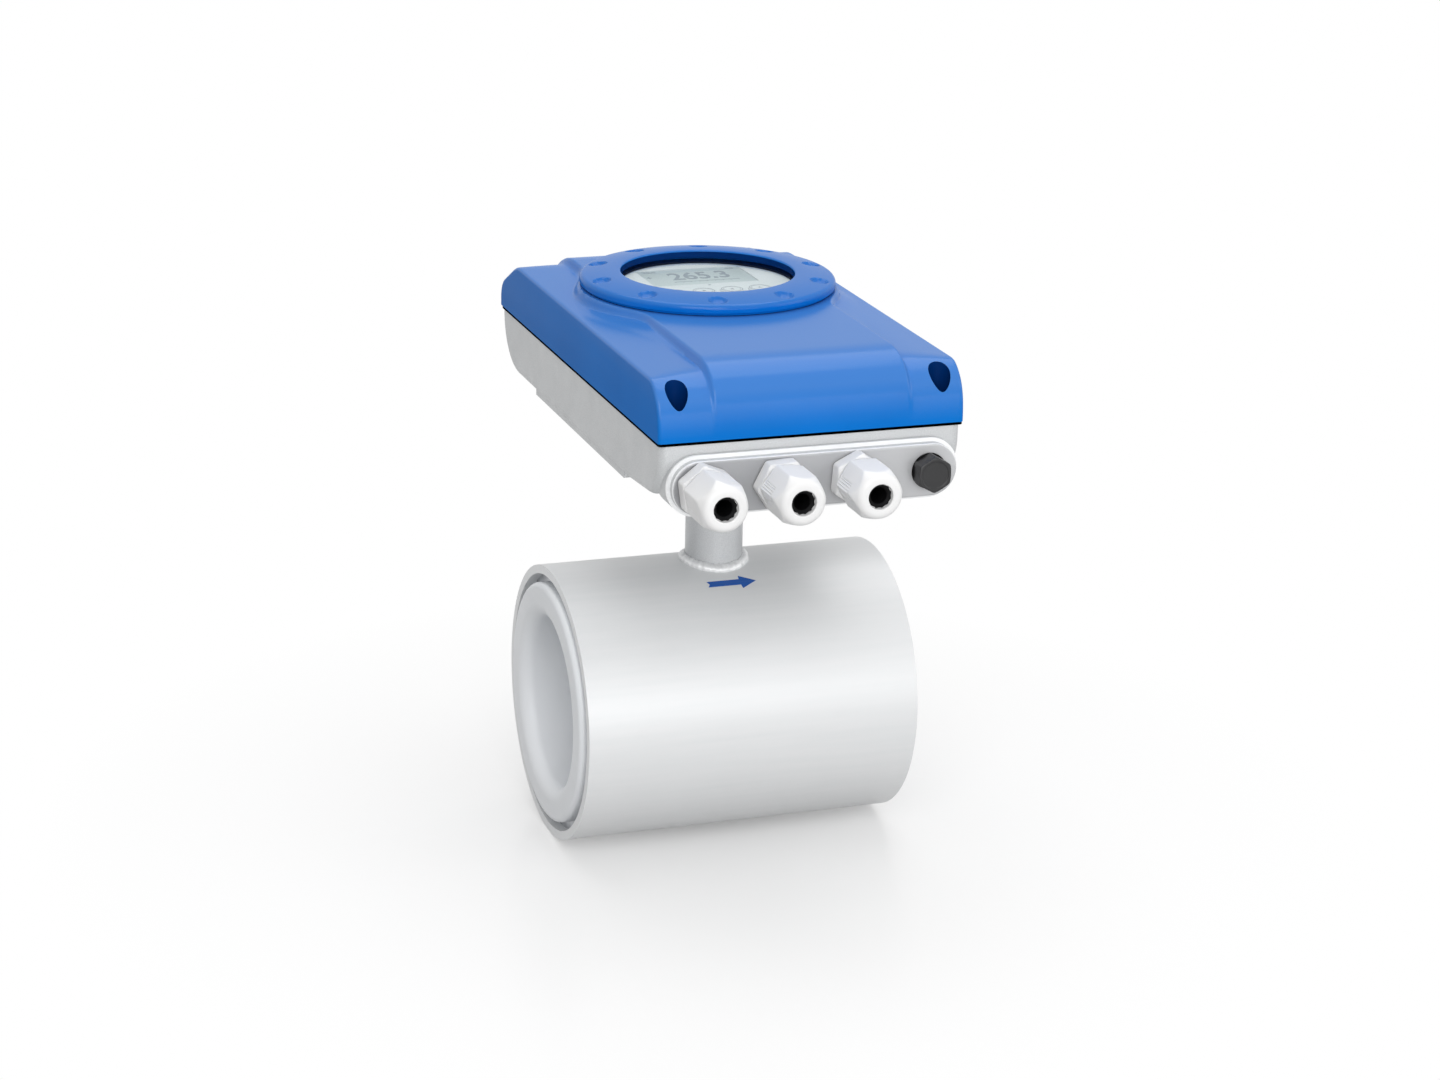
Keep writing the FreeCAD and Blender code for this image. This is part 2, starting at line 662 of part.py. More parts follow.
def round_edges(body, name, radius, test):
    doc.recompute()
    tip = body.Tip
    feature = body.newObject("PartDesign::Fillet", name)
    feature.Base = (tip, edge_names(tip.Shape, test))
    feature.Radius = float(size_of(radius))
    feature.setExpression("Radius", size_of(radius).text)
    body.Tip = feature
    return feature


base_outer = base_form("base_outer", 0, rim)
round_edges(base_outer, "base_outer_edges", D.base_corner, side_edges(float(half_base), float(rim)))
base_inner = base_form("base_inner", wall, rim + 1)

pad_y = -(D.base_front + D.pad_rise)
pad_z = rim - D.pad_drop
pad_r = D.pad_height / 2
pad_half = half_base - D.pad_inset


def obround(name, radius, half, y_face, depth):
    """A slot-shaped block with its face towards -Y."""
    body = padded(name, "XZ_Plane", [
        (-half, pad_z - radius, radius - 0.01), (half, pad_z - radius, radius - 0.01),
        (half, pad_z + radius, radius - 0.01), (-half, pad_z + radius, radius - 0.01)],
        depth, -y_face - depth, False)
    return body


pad_block = obround("pad_block", pad_r, pad_half, pad_y, D.pad_rise + D.pad_root)
round_edges(pad_block, "pad_face_edge", D.pad_edge,
            lambda edge: all(abs(p.y - float(pad_y)) < 0.01 for p in edge.discretize(5)))
pad_skirt = obround("pad_skirt", pad_r + D.pad_skirt / 2, pad_half + D.pad_skirt / 2,
                    pad_y + D.pad_rise * 0.6, D.pad_rise * 0.4 + D.skirt_root)

post_x = half_base - D.post_inset_side
post_front = D.base_front - D.post_inset_front
post_back = D.base_back - D.post_inset_back
post_spots = [("front_left", -post_x, -post_front), ("front_right", post_x, -post_front),
              ("back_left", -post_x, post_back), ("back_right", post_x, post_back)]
post_blocks = [
    cylinder("post_" + tag, D.post_diameter / 2, D.base_depth, x=x, y=y, z=base_bottom)
    for tag, x, y in post_spots]
posts_inside = common("posts_inside", [
    fuse("post_blocks", post_blocks), base_form("base_posts_limit", 0.2, rim)])

floor = base_bottom + wall
board_z = floor + D.board_lift
board_half = half_base - D.board_margin
board_front = D.base_front - D.board_margin_front
board_back = D.base_back - D.board_margin_back
board_spots = []
for sx in (-1, 1):
    for y in (-(board_front - D.board_post_inset), board_back - D.board_post_inset):
        board_spots.append((sx * (board_half - D.board_post_inset), y))
board_posts = [
    cylinder("board_post_%d" % i, D.board_post / 2, D.board_lift + 1, x=x, y=y, z=floor - 1)
    for i, (x, y) in enumerate(board_spots)]
rails = [
    box("rail_left", -half_base + 1, -half_base + D.rail_width, -D.rail_front, D.rail_back,
        base_bottom - D.rail_height, floor),
    box("rail_right", half_base - D.rail_width, half_base - 1, -D.rail_front, D.rail_back,
        base_bottom - D.rail_height, floor)]
feet = [
    cylinder("foot_" + tag, D.foot_diameter / 2, wall + D.foot_height + 2,
             x=side * (half_base - D.foot_inset), y=-(D.base_front - D.foot_setback),
             z=base_bottom - D.foot_height + D.chin_lift / 2)
    for side, tag in ((-1, "left"), (1, "right"))]
base_shell = cut("base_shell", base_outer, base_inner)
base_pads = cut("base_pads", fuse("pad_with_skirt", [pad_block, pad_skirt]), base_inner)
base_solid = fuse("base_solid", [base_shell, base_pads, posts_inside] + board_posts + rails + feet)

entry_pitch = (pad_half - D.entry_margin) * 2 / 3
entry_x = [(i - 1.5) * entry_pitch for i in range(4)]
thread_r = D.gland_thread / 2
thread_depth = D.pad_rise + wall
holes = [cylinder("neck_passage", neck_in_r, wall + 4, z=base_bottom - 2)]
for i, x in enumerate(entry_x):
    radius = thread_r if i < 3 else D.plug_thread / 2
    holes.append(cylinder("entry_hole_%d" % i, radius, thread_depth + 20, x=x, y=pad_y - 1, z=pad_z,
                          along="y"))
for i in range(4):
    angle = math.radians(45 + 90 * i)
    holes.append(cylinder("flange_tap_%d" % i, screw_r, wall + 2,
                          x=D.flange_screw_circle / 2 * math.cos(angle),
                          y=D.flange_screw_circle / 2 * math.sin(angle), z=base_bottom - 1))
for tag, x, y in post_spots:
    holes.append(cylinder("post_tap_" + tag, D.cover_screw / 2, D.cover_screw_reach + 1, x=x, y=y,
                          z=rim - D.cover_screw_reach))
for i, (x, y) in enumerate(board_spots):
    holes.append(cylinder("board_tap_%d" % i, D.board_screw / 2, D.board_lift, x=x, y=y,
                          z=board_z - D.board_lift + 1))
node(cut("base_casting", base_solid, fuse("base_holes", holes)), "base_housing")

# ---------------------------------------------------------------- gasket and cover
seat = rim + D.gasket_thickness
cover_front = -(D.base_front + D.cover_overhang)
cover_back = D.base_back + D.cover_overhang
half_cover = half_base + D.cover_overhang


def gasket_form(name, inset, low, height):
    """A flat plate inside the outline of the base, with its rounded corners."""
    side, front, back = half_base - inset, -(D.base_front - inset), D.base_back - inset
    corner = D.base_corner - D.gasket_inset
    return padded(name, "XY_Plane", [
        (-side, front, corner), (side, front, corner), (side, back, corner),
        (-side, back, corner)], height, low, False)


gasket_outer = gasket_form("gasket_outer", D.gasket_inset, rim, D.gasket_thickness)
gasket_inner = gasket_form("gasket_inner", D.gasket_inset + D.gasket_width, rim - 1,
                           D.gasket_thickness + 2)
gasket_wells = [cylinder("gasket_well_" + tag, D.cover_screw / 2 + 0.3, 3, x=x, y=y, z=rim - 1)
                for tag, x, y in post_spots]
node(cut("gasket_frame", cut("gasket_band", gasket_outer, gasket_inner),
         fuse("gasket_wells", gasket_wells)), "cover_gasket")


def cover_side_form(name, inset, top, low, nose):
    """Side profile of the cover: nose in front, a long falling back behind (Y, Z)."""
    return padded(name, "YZ_Plane", [
        (cover_front + inset, low), (cover_front + inset, seat + top - inset, nose),
        (cover_back - D.tail_run - inset * 0.25, seat + top - inset, D.crown_radius - inset),
        (cover_back - inset, seat + D.tail_rise - inset * 0.6, D.tail_radius - inset),
        (cover_back - inset, low)], 2 * (half_cover - inset))


def cover_roof_form(name, inset, low):
    """Front view of the cover: upright sides and shoulders that rise to the middle (X, Z)."""
    half = half_cover - inset
    return padded(name, "XZ_Plane", [
        (-half, low), (-half, seat + D.cover_side - inset),
        (-D.shoulder_half, seat + D.cover_top - inset + 0.4),
        (D.shoulder_half, seat + D.cover_top - inset + 0.4),
        (half, seat + D.cover_side - inset), (half, low)], 3 * D.base_front)


def plateau_plan(name, inset):
    """Plan of the raised middle: a round boss with a strip to the front and one to the back."""
    low = seat + 1
    height = D.plateau_top + 10
    boss = cylinder(name + "_boss", D.plateau_radius - inset, height, y=D.window_offset, z=low)
    front = box(name + "_front", -(D.plateau_front_half - inset), D.plateau_front_half - inset,
                cover_front - 5, D.window_offset, low, low + height)
    back = box(name + "_back", -(D.plateau_back_half - inset), D.plateau_back_half - inset,
               D.window_offset, cover_back + 5, low, low + height)
    return fuse(name + "_plan", [boss, front, back])


def blended(name, base, pairs):
    """Rounds the edges of a solid that pass a test. pairs holds (radius, test)."""
    doc.recompute()
    obj = doc.addObject("Part::Fillet", name)
    obj.Base = base
    edges = []
    for radius, test in pairs:
        for number, edge in enumerate(base.Shape.Edges, 1):
            if test(edge):
                edges.append((number, float(radius), float(radius)))
    obj.Edges = edges
    return obj


def upright(front):
    """Upright edges where the strips leave the round boss."""
    def test(edge):
        a, b = edge.Vertexes[0].Point, edge.Vertexes[-1].Point
        if math.hypot(a.x - b.x, a.y - b.y) > 0.01 or abs(a.z - b.z) < 1:
            return False
        reach = abs(math.hypot(a.x, a.y - float(D.window_offset)) - float(D.plateau_radius)) < 0.5
        return reach and ((a.y < float(D.window_offset)) == front)
    return test


def ridge(edge):
    """The rim of the raised middle and the upper edges of its two strips."""
    points = edge.discretize(7)
    first, last = points[0], points[-1]
    if math.hypot(first.x - last.x, first.y - last.y) < 0.01 or first.z < float(seat) + 1.01:
        return False
    level = all(abs(p.z - float(seat + D.plateau_top)) < 0.01 for p in points)
    across = all(abs(p.y - first.y) < 0.01 for p in points)
    beside = [all(abs(abs(p.x) - float(half)) < 0.02 for p in points)
              for half in (D.plateau_front_half, D.plateau_back_half)]
    return (level and not across) or any(beside)


cover_sides = cover_side_form("cover_sides", 0, D.cover_top, seat, D.nose_radius)
cover_roof = cover_roof_form("cover_roof", 0, seat)
cover_lower = blended("cover_lower", common("cover_lower_form", [cover_sides, cover_roof]), [
    (D.cover_edge, side_edges(float(half_cover), float(seat)))])
plateau_sides = cover_side_form("plateau_sides", 0, D.plateau_top, seat,
                                D.nose_radius + D.plateau_top - D.cover_top)
plateau_block = blended("plateau_block", plateau_plan("plateau", 0), [
    (D.plateau_blend_front, upright(True)), (D.plateau_blend_back, upright(False))])
plateau = blended("plateau_rounded", common("plateau_form", [plateau_sides, plateau_block]), [
    (D.ridge_edge, ridge)])
cover_outer = fuse("cover_outer", [cover_lower, plateau])

cw = D.cover_wall
inner_sides = cover_side_form("inner_sides", cw, D.cover_top, seat - 1, D.nose_radius - cw)
inner_roof = cover_roof_form("inner_roof", cw, seat - 1)
inner_lower = common("inner_lower", [inner_sides, inner_roof])
inner_plateau_sides = cover_side_form("inner_plateau_sides", cw, D.plateau_top, seat - 1,
                                      D.nose_radius + D.plateau_top - D.cover_top - cw)
inner_plateau = common("inner_plateau", [inner_plateau_sides, plateau_plan("inner_plan", cw)])
cover_cavity = fuse("cover_cavity", [inner_lower, inner_plateau])
cover_shell = cut("cover_shell", cover_outer, cover_cavity)

opening_r = D.collar_diameter / 2 + D.collar_clearance
collar_low = seat + D.plateau_top + D.bezel_gap - D.collar_depth
cover_collar = cylinder("cover_collar", D.plateau_radius - cw + 0.5, seat + D.plateau_top - collar_low,
                        y=D.window_offset, z=collar_low)
well_r = D.counterbore_diameter / 2
cover_wells = common("cover_wells", [
    fuse("well_blocks", [cylinder("well_" + tag, well_r + D.well_wall, D.cover_top, x=x, y=y, z=seat)
                         for tag, x, y in post_spots]),
    cover_side_form("well_limit_sides", 0.2, D.cover_top, seat, D.nose_radius - 0.2)])
well_limit = common("cover_wells_inside", [cover_wells, cover_roof_form("well_limit_roof", 0.2, seat)])
cover_solid = fuse("cover_solid", [cover_shell, cover_collar, well_limit])

cover_holes = [cylinder("cover_opening", opening_r, D.collar_depth + 20, y=D.window_offset,
                        z=collar_low - 5)]
for tag, x, y in post_spots:
    cover_holes.append(cylinder("counterbore_" + tag, well_r, D.cover_top, x=x, y=y,
                                z=seat + D.counterbore_floor))
    cover_holes.append(cylinder("cover_hole_" + tag, D.cover_screw / 2 + 0.1, D.counterbore_floor + 1,
                                x=x, y=y, z=seat - 0.5))
plateau_z = seat + D.plateau_top
oring_r = D.oring_section / 2
groove_floor = plateau_z + D.bezel_gap - D.oring_section
oring_groove = turned("oring_groove", [
    (D.oring_circle / 2 - oring_r, groove_floor), (D.oring_circle / 2 + oring_r, groove_floor),
    (D.oring_circle / 2 + oring_r, plateau_z + 1), (D.oring_circle / 2 - oring_r, plateau_z + 1)])
place(oring_groove, y=D.window_offset)
cover_cuts = fuse("cover_cuts", cover_holes + [oring_groove])
node(cut("cover_casting", cover_solid, cover_cuts), "cover")

oring = doc.addObject("Part::Torus", "oring")
bind(oring, "Radius1", D.oring_circle / 2)
bind(oring, "Radius2", oring_r)
place(oring, y=D.window_offset, z=groove_floor + oring_r)
node(oring, "bezel_seal")

# ---------------------------------------------------------------- bezel, glass and what holds it
rim_z = seat + D.bezel_rim
lip_z = rim_z - D.lip_thickness
glass_top = lip_z - D.glass_gasket_thickness
glass_low = glass_top - D.glass_thickness
retainer_low = glass_low - D.retainer_thickness
bezel_r = D.bezel_diameter / 2
window_r = D.window_diameter / 2
glass_r = D.glass_diameter / 2
pocket_r = glass_r + D.glass_clearance
collar_r = D.collar_diameter / 2
bezel_low = plateau_z + D.bezel_gap
bezel = turned("bezel", [
    (window_r - 0.8, lip_z), (window_r, rim_z, D.bezel_inner_edge), (bezel_r, rim_z, D.bezel_edge),
    (bezel_r, bezel_low, 0.6), (collar_r, bezel_low), (collar_r, collar_low),
    (pocket_r, collar_low), (pocket_r, lip_z)])
place(bezel, y=D.window_offset)
ball_r = (D.dimple_diameter * D.dimple_diameter / 4 + D.dimple_depth * D.dimple_depth) / (
    2 * D.dimple_depth)
dimple = bezel.newObject("PartDesign::SubtractiveSphere", "dimple")
bind(dimple, "Radius", ball_r)
dimple.AttachmentSupport = (origin_plane(bezel, "XY_Plane"), [""])
dimple.MapMode = "FlatFace"
first_dimple = math.radians(18)
for axis, size in (("x", D.dimple_circle / 2 * math.cos(first_dimple)),
                   ("y", D.dimple_circle / 2 * math.sin(first_dimple)),
                   ("z", rim_z - D.dimple_depth + ball_r)):
    dimple.setExpression("AttachmentOffset.Base." + axis, size.text)
dimples = bezel.newObject("PartDesign::PolarPattern", "dimples")
dimples.Originals = [dimple]
for feature in bezel.Origin.OriginFeatures:
    if feature.Role == "Z_Axis":
        dimples.Axis = (feature, [""])
dimples.Angle = 360
dimples.setExpression("Occurrences", "Sizes.dimple_count")
bezel.Tip = dimples
node(bezel, "bezel_ring")

glass_gasket = turned("glass_gasket_ring", [
    (D.glass_gasket_inner / 2, glass_top), (glass_r, glass_top), (glass_r, lip_z),
    (D.glass_gasket_inner / 2, lip_z)])
node(place(glass_gasket, y=D.window_offset), "glass_gasket")
glass = turned("glass_disc", [
    (0, glass_low), (glass_r, glass_low), (glass_r, glass_top), (0, glass_top)])
node(place(glass, y=D.window_offset), "window_glass")
retainer = turned("retainer_ring", [
    (D.retainer_inner / 2, retainer_low), (pocket_r, retainer_low), (pocket_r, glass_low),
    (D.retainer_inner / 2, glass_low)])
node(place(retainer, y=D.window_offset), "glass_retainer")

# ---------------------------------------------------------------- display
panel_top = rim_z - D.panel_below_rim
panel_under = panel_top - D.panel_thickness
display_board_top = panel_top - D.panel_skirt
display_board_low = display_board_top - D.board_thickness
panel_r = D.retainer_inner / 2 - D.panel_gap
panel = turned("panel_cup", [
    (0, panel_under), (panel_r - D.skirt_wall, panel_under), (panel_r - D.skirt_wall, display_board_top),
    (panel_r, display_board_top), (panel_r, panel_top, 0.6), (0, panel_top)])
place(panel, y=D.window_offset)
lcd_y = D.window_offset + D.lcd_behind
key_y = D.window_offset - D.key_before
key_x = [(i - 1.5) * D.key_pitch for i in range(4)]
pillar_circle = panel_r - D.pillar_inset
pillar_angle = math.radians(18)
pillar_spots = [(sx * pillar_circle * math.cos(pillar_angle),
                 D.window_offset + sy * pillar_circle * math.sin(pillar_angle))
                for sx in (-1, 1) for sy in (-1, 1)]
half_w = D.lcd_width / 2 + D.lcd_clearance
half_h = D.lcd_height / 2 + D.lcd_clearance
panel_holes = [box("lcd_opening", -half_w, half_w, lcd_y - half_h, lcd_y + half_h, panel_under - 1,
                   panel_top + 1)]
for i, x in enumerate(key_x):
    panel_holes.append(cylinder("key_hole_%d" % i, D.key_diameter / 2 + D.key_clearance, 5, x=x, y=key_y,
                                z=panel_under - 1))
sockets = []
socket_bores = []
for i, (x, y) in enumerate(pillar_spots):
    sockets.append(cylinder("socket_%d" % i, D.pillar_diameter / 2, panel_top - 0.5 - display_board_top,
                            x=x, y=y, z=display_board_top))
    socket_bores.append(cylinder("socket_bore_%d" % i, D.stud_diameter / 2, D.stud_reach, x=x, y=y,
                                 z=display_board_top))
panel_solid = fuse("panel_solid", [panel] + sockets)
node(cut("panel_cut", panel_solid, fuse("panel_holes", panel_holes + socket_bores)), "display_panel")

lcd = box("lcd", -D.lcd_width / 2, D.lcd_width / 2, lcd_y - D.lcd_height / 2, lcd_y + D.lcd_height / 2,
          display_board_top, panel_top - D.lcd_recess)
node(lcd, "lcd_module")

display_board = cylinder("display_board_disc", panel_r, D.board_thickness, y=D.window_offset,
                         z=display_board_low)
stud_holes = [cylinder("stud_hole_%d" % i, D.stud_diameter / 2, 4, x=x, y=y, z=display_board_low - 1)
              for i, (x, y) in enumerate(pillar_spots)]
node(cut("display_board_cut", display_board, fuse("stud_holes", stud_holes)), "display_board")

key_flange_top = panel_under
key_bottom = key_flange_top - D.key_flange_height
for i, x in enumerate(key_x):
    cap = turned("key_%d_cap" % (i + 1), [
        (0, key_bottom), (D.key_flange / 2, key_bottom), (D.key_flange / 2, key_flange_top),
        (D.key_diameter / 2, key_flange_top), (D.key_diameter / 2, panel_top + D.key_rise, 0.5),
        (0, panel_top + D.key_rise)])
    node(place(cap, x=x, y=key_y), "key_%d" % (i + 1))
switch_height = key_bottom - D.key_travel - display_board_top
switches = [cylinder("switch_%d" % i, D.switch_diameter / 2, switch_height, x=x, y=key_y,
                     z=display_board_top) for i, x in enumerate(key_x)]
node(group("switch_set", switches), "key_switches")

main_top = board_z + D.board_thickness
pillars = []
for i, (x, y) in enumerate(pillar_spots):
    pillars.append(fuse("pillar_%d" % i, [
        prism("pillar_hex_%d" % i, D.pillar_diameter * 0.9, display_board_low - main_top, x=x, y=y,
              z=main_top),
        cylinder("pillar_stud_%d" % i, D.stud_diameter / 2,
                 display_board_top + D.stud_reach - board_z + 4, x=x, y=y, z=board_z - 4)]))
node(group("pillar_set", pillars), "display_pillars")
pillar_nuts = [cut("pillar_nut_%d" % i,
                   prism("pillar_nut_hex_%d" % i, 5.5, 2.4, x=x, y=y, z=board_z - 2.4),
                   cylinder("pillar_nut_bore_%d" % i, D.stud_diameter / 2, 2.4, x=x, y=y, z=board_z - 2.4))
               for i, (x, y) in enumerate(pillar_spots)]
node(group("pillar_nut_set", pillar_nuts), "pillar_nuts")

# ---------------------------------------------------------------- electronics in the base
main_board = box("main_board_plate", -board_half, board_half, -board_front, board_back,
                 board_z, main_top)
board_holes = [cylinder("board_passage", neck_in_r, 4, z=board_z - 1)]
for i, (x, y) in enumerate(board_spots):
    board_holes.append(cylinder("board_hole_%d" % i, D.board_screw / 2, 4, x=x, y=y, z=board_z - 1))
for i, (x, y) in enumerate(pillar_spots):
    board_holes.append(cylinder("board_stud_%d" % i, D.stud_diameter / 2, 4, x=x, y=y, z=board_z - 1))
node(cut("main_board_cut", main_board, fuse("board_holes", board_holes)), "main_board")

board_screws = [fuse("board_screw_%d" % i, [
    cylinder("board_screw_shank_%d" % i, D.board_screw / 2, D.board_thickness + D.board_lift - 2,
             x=x, y=y, z=board_z - D.board_lift + 2),
    cylinder("board_screw_head_%d" % i, D.board_screw, D.board_screw * 0.6, x=x, y=y, z=main_top)])
    for i, (x, y) in enumerate(board_spots)]
node(group("board_screw_set", board_screws), "board_screws")

terminal_y = -board_front + D.terminal_setback
blocks = []
for i in range(3):
    x = entry_x[i] + entry_pitch / 2
    block = box("terminal_%d" % i, x - D.terminal_width / 2, x + D.terminal_width / 2,
                terminal_y, terminal_y + D.terminal_depth, main_top, main_top + D.terminal_height)
    cuts = []
    way = D.terminal_width / D.terminal_ways
    for k in range(int(float(D.terminal_ways))):
        wx = x - D.terminal_width / 2 + (k + 0.5) * way
        cuts.append(cylinder("terminal_wire_%d_%d" % (i, k), way * 0.3, 5, x=wx, y=terminal_y - 1,
                             z=main_top + D.terminal_height * 0.3, along="y"))
        cuts.append(cylinder("terminal_screw_%d_%d" % (i, k), way * 0.3, 4, x=wx,
                             y=terminal_y + D.terminal_depth / 2, z=main_top + D.terminal_height - 3))
    blocks.append(cut("terminal_block_%d" % i, block, fuse("terminal_cuts_%d" % i, cuts)))
node(group("terminal_set", blocks), "terminal_blocks")

tx = D.transformer_width / 2
ty0 = board_back - D.transformer_setback - D.transformer_depth
ty1 = ty0 + D.transformer_depth
core = box("transformer_core_block", -tx, tx, ty0, ty1, main_top, main_top + D.transformer_height)
window_cut = box("transformer_window", -tx * 0.66, tx * 0.66, ty0 - 1, ty1 + 1,
                 main_top + D.transformer_height * 0.2, main_top + D.transformer_height * 0.8)
node(cut("transformer_core_cut", core, window_cut), "transformer_core")
bobbin = box("bobbin_block", -tx * 0.66, tx * 0.66, ty0 - D.bobbin_overhang, ty1 + D.bobbin_overhang,
             main_top + D.transformer_height * 0.2, main_top + D.transformer_height * 0.8)
node(bobbin, "transformer_coil")
capacitor_x = tx + D.capacitor_diameter * 0.9
capacitor_y = board_back - D.capacitor_setback
capacitors = [cylinder("capacitor_%d" % i, D.capacitor_diameter / 2, D.capacitor_height,
                       x=side * capacitor_x, y=capacitor_y, z=main_top)
              for i, side in enumerate((-1, 1))]
node(group("capacitor_pair", capacitors), "capacitors")

# ---------------------------------------------------------------- cable entries
washers, bodies = [], []
spigot_r = D.spigot_diameter / 2
body_low = D.washer_thickness
hex_end = body_low + D.body_hex
groove_end = hex_end + D.groove_width
spigot_end = groove_end + D.spigot_length
BODY_SPIN = (98, 123, 86)
DOME_SPIN = (104, 114, 120)
for i in range(4):
    radius = thread_r if i < 3 else D.plug_thread / 2
    outer = D.washer_diameter / 2 if i < 3 else D.plug_flats / 2
    washers.append(cut("washer_%d" % i,
                       cylinder("washer_disc_%d" % i, outer, D.washer_thickness, x=entry_x[i], y=pad_y,
                                z=pad_z, along="-y"),
                       cylinder("washer_bore_%d" % i, radius, D.washer_thickness, x=entry_x[i], y=pad_y,
                                z=pad_z, along="-y")))
node(group("washer_set", washers), "entry_washers")

for i in range(3):
    x = entry_x[i]
    shank = turned("gland_core_%d" % i, [
        (D.gland_bore / 2, -thread_depth), (thread_r, -thread_depth), (thread_r, body_low + 1),
        (D.groove_diameter / 2, body_low + 1), (D.groove_diameter / 2, groove_end),
        (spigot_r, groove_end), (spigot_r, spigot_end), (D.gland_bore / 2, spigot_end)])
    place(shank, x, pad_y, pad_z, ALONG["-y"])
    hexagon = prism("gland_hex_%d" % i, D.body_flats, D.body_hex, x, pad_y - body_low, pad_z, "-y",
                    BODY_SPIN[i])
    hex_chamfer = turned("gland_hex_limit_%d" % i, [
        (0, body_low), (D.body_flats / 2 + 1.9, body_low), (D.body_flats / 2 + 1.9, hex_end - 1.2),
        (D.body_flats / 2 - 0.1, hex_end), (0, hex_end)])
    place(hex_chamfer, x, pad_y, pad_z, ALONG["-y"])
    trimmed = common("gland_hex_trim_%d" % i, [hexagon, hex_chamfer])
    bore = cylinder("gland_body_bore_%d" % i, D.gland_bore / 2, thread_depth + spigot_end, x,
                    pad_y + thread_depth, pad_z, "-y")
    bodies.append(cut("gland_%d" % i, fuse("gland_solid_%d" % i, [shank, trimmed]), bore))
node(group("gland_set", bodies), "gland_bodies")

dome_low = groove_end
dome_end = dome_low + D.dome_length
dome_in_r = spigot_r + D.dome_clearance
dome_corner = D.dome_flats / (2 * math.cos(math.pi / 6))
for i in range(3):
    x = entry_x[i]
    tag = i + 1
    flat_part = prism("dome_hex_%d" % tag, D.dome_flats, D.dome_length, x, pad_y - dome_low, pad_z, "-y",
                      DOME_SPIN[i])
    cap = turned("dome_cap_%d" % tag, [
        (0, dome_low), (dome_corner + 0.2, dome_low, 1),
        (dome_corner + 0.2, dome_end - D.dome_length + D.dome_hex, D.dome_shoulder),
        (D.dome_face / 2 + 1.6, dome_end, D.dome_edge), (0, dome_end)])
    place(cap, x, pad_y, pad_z, ALONG["-y"])
    outside = common("dome_outside_%d" % tag, [flat_part, cap])
    hollow = turned("dome_hollow_%d" % tag, [
        (0, dome_low - 1), (dome_in_r, dome_low - 1), (dome_in_r, spigot_end + 0.5),
        (D.dome_hole / 2, dome_end - 4), (D.dome_hole / 2, dome_end + 1), (0, dome_end + 1)])
    place(hollow, x, pad_y, pad_z, ALONG["-y"])
    node(cut("dome_%d" % tag, outside, hollow), "gland_dome_%d" % tag)

    mouth_r = D.dome_hole / 2 - D.seal_clearance
    ring = turned("seal_ring_%d" % tag, [
        (D.seal_bore / 2, spigot_end - D.seal_reach), (mouth_r, spigot_end - D.seal_reach),
        (mouth_r, dome_end - 1.6), (D.seal_bore / 2, dome_end - 3)])
    place(ring, x, pad_y, pad_z, ALONG["-y"])
    node(ring, "gland_seal_%d" % tag)

plug_blank = prism("plug_hex", D.plug_flats, D.plug_head, entry_x[3], pad_y - body_low, pad_z, "-y", 90)
plug_limit = turned("plug_limit", [
    (0, body_low), (D.plug_flats / 2 + 1.4, body_low, 1),
    (D.plug_flats / 2 + 1.4, body_low + D.plug_head, D.plug_chamfer), (0, body_low + D.plug_head)])
place(plug_limit, entry_x[3], pad_y, pad_z, ALONG["-y"])
plug_head = common("plug_head_form", [plug_blank, plug_limit])
plug_shank = cylinder("plug_shank", D.plug_thread / 2, thread_depth + body_low + 1, entry_x[3],
                      pad_y + thread_depth, pad_z, "-y")
node(fuse("plug_solid", [plug_head, plug_shank]), "blanking_plug")

# ---------------------------------------------------------------- cover screws
screws = []
for tag, x, y in post_spots:
    head_z = seat + D.counterbore_floor
    shank = cylinder("screw_shank_" + tag, D.cover_screw / 2, D.counterbore_floor + D.gasket_thickness
                     + D.cover_screw_reach - 1, x=x, y=y, z=rim - D.cover_screw_reach + 1)
    head = cylinder("screw_head_" + tag, D.cover_screw_head / 2, D.cover_screw_head_height, x=x, y=y,
                    z=head_z)
    socket = prism("screw_socket_" + tag, D.cover_screw * 0.8, D.cover_screw_head_height, x=x, y=y,
                   z=head_z + D.cover_screw_head_height / 2)
    screws.append(cut("cover_screw_" + tag, fuse("screw_" + tag, [shank, head]), socket))
node(group("cover_screw_set", screws), "cover_screws")

# ---------------------------------------------------------------- checks and files
doc.recompute()
for obj in doc.Objects:
    bad = [state for state in obj.State if "Invalid" in state or "Error" in state]
    if bad:
        raise RuntimeError("%s: %s" % (obj.Name, bad))
os.makedirs("parts", exist_ok=True)
for obj in parts:
    shape = obj.Shape
    if shape.isNull() or not shape.isValid():
        raise RuntimeError("%s has no valid shape" % obj.Label)
    shape.exportStep(os.path.join("parts", obj.Label + ".step"))
    print("%-20s %2d solid %12.1f mm3" % (obj.Label, len(shape.Solids), shape.Volume))
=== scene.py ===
# %% [markdown]
# # An electromagnetic flow meter
# The meter has two halves. Below is the sensor: a short lined pipe in a steel housing that is clamped
# between two flanges. Above, on a short neck, sits the signal converter: a cast base with three cable
# glands, a blue cover, and a screwed bezel with a window over the display.
# The sizes come from the fixed frame, so every new piece is placed from the box of the part it dresses.

# %% Load the fixed frame
import math

import bmesh
import bpy
from mathutils import Matrix, Vector


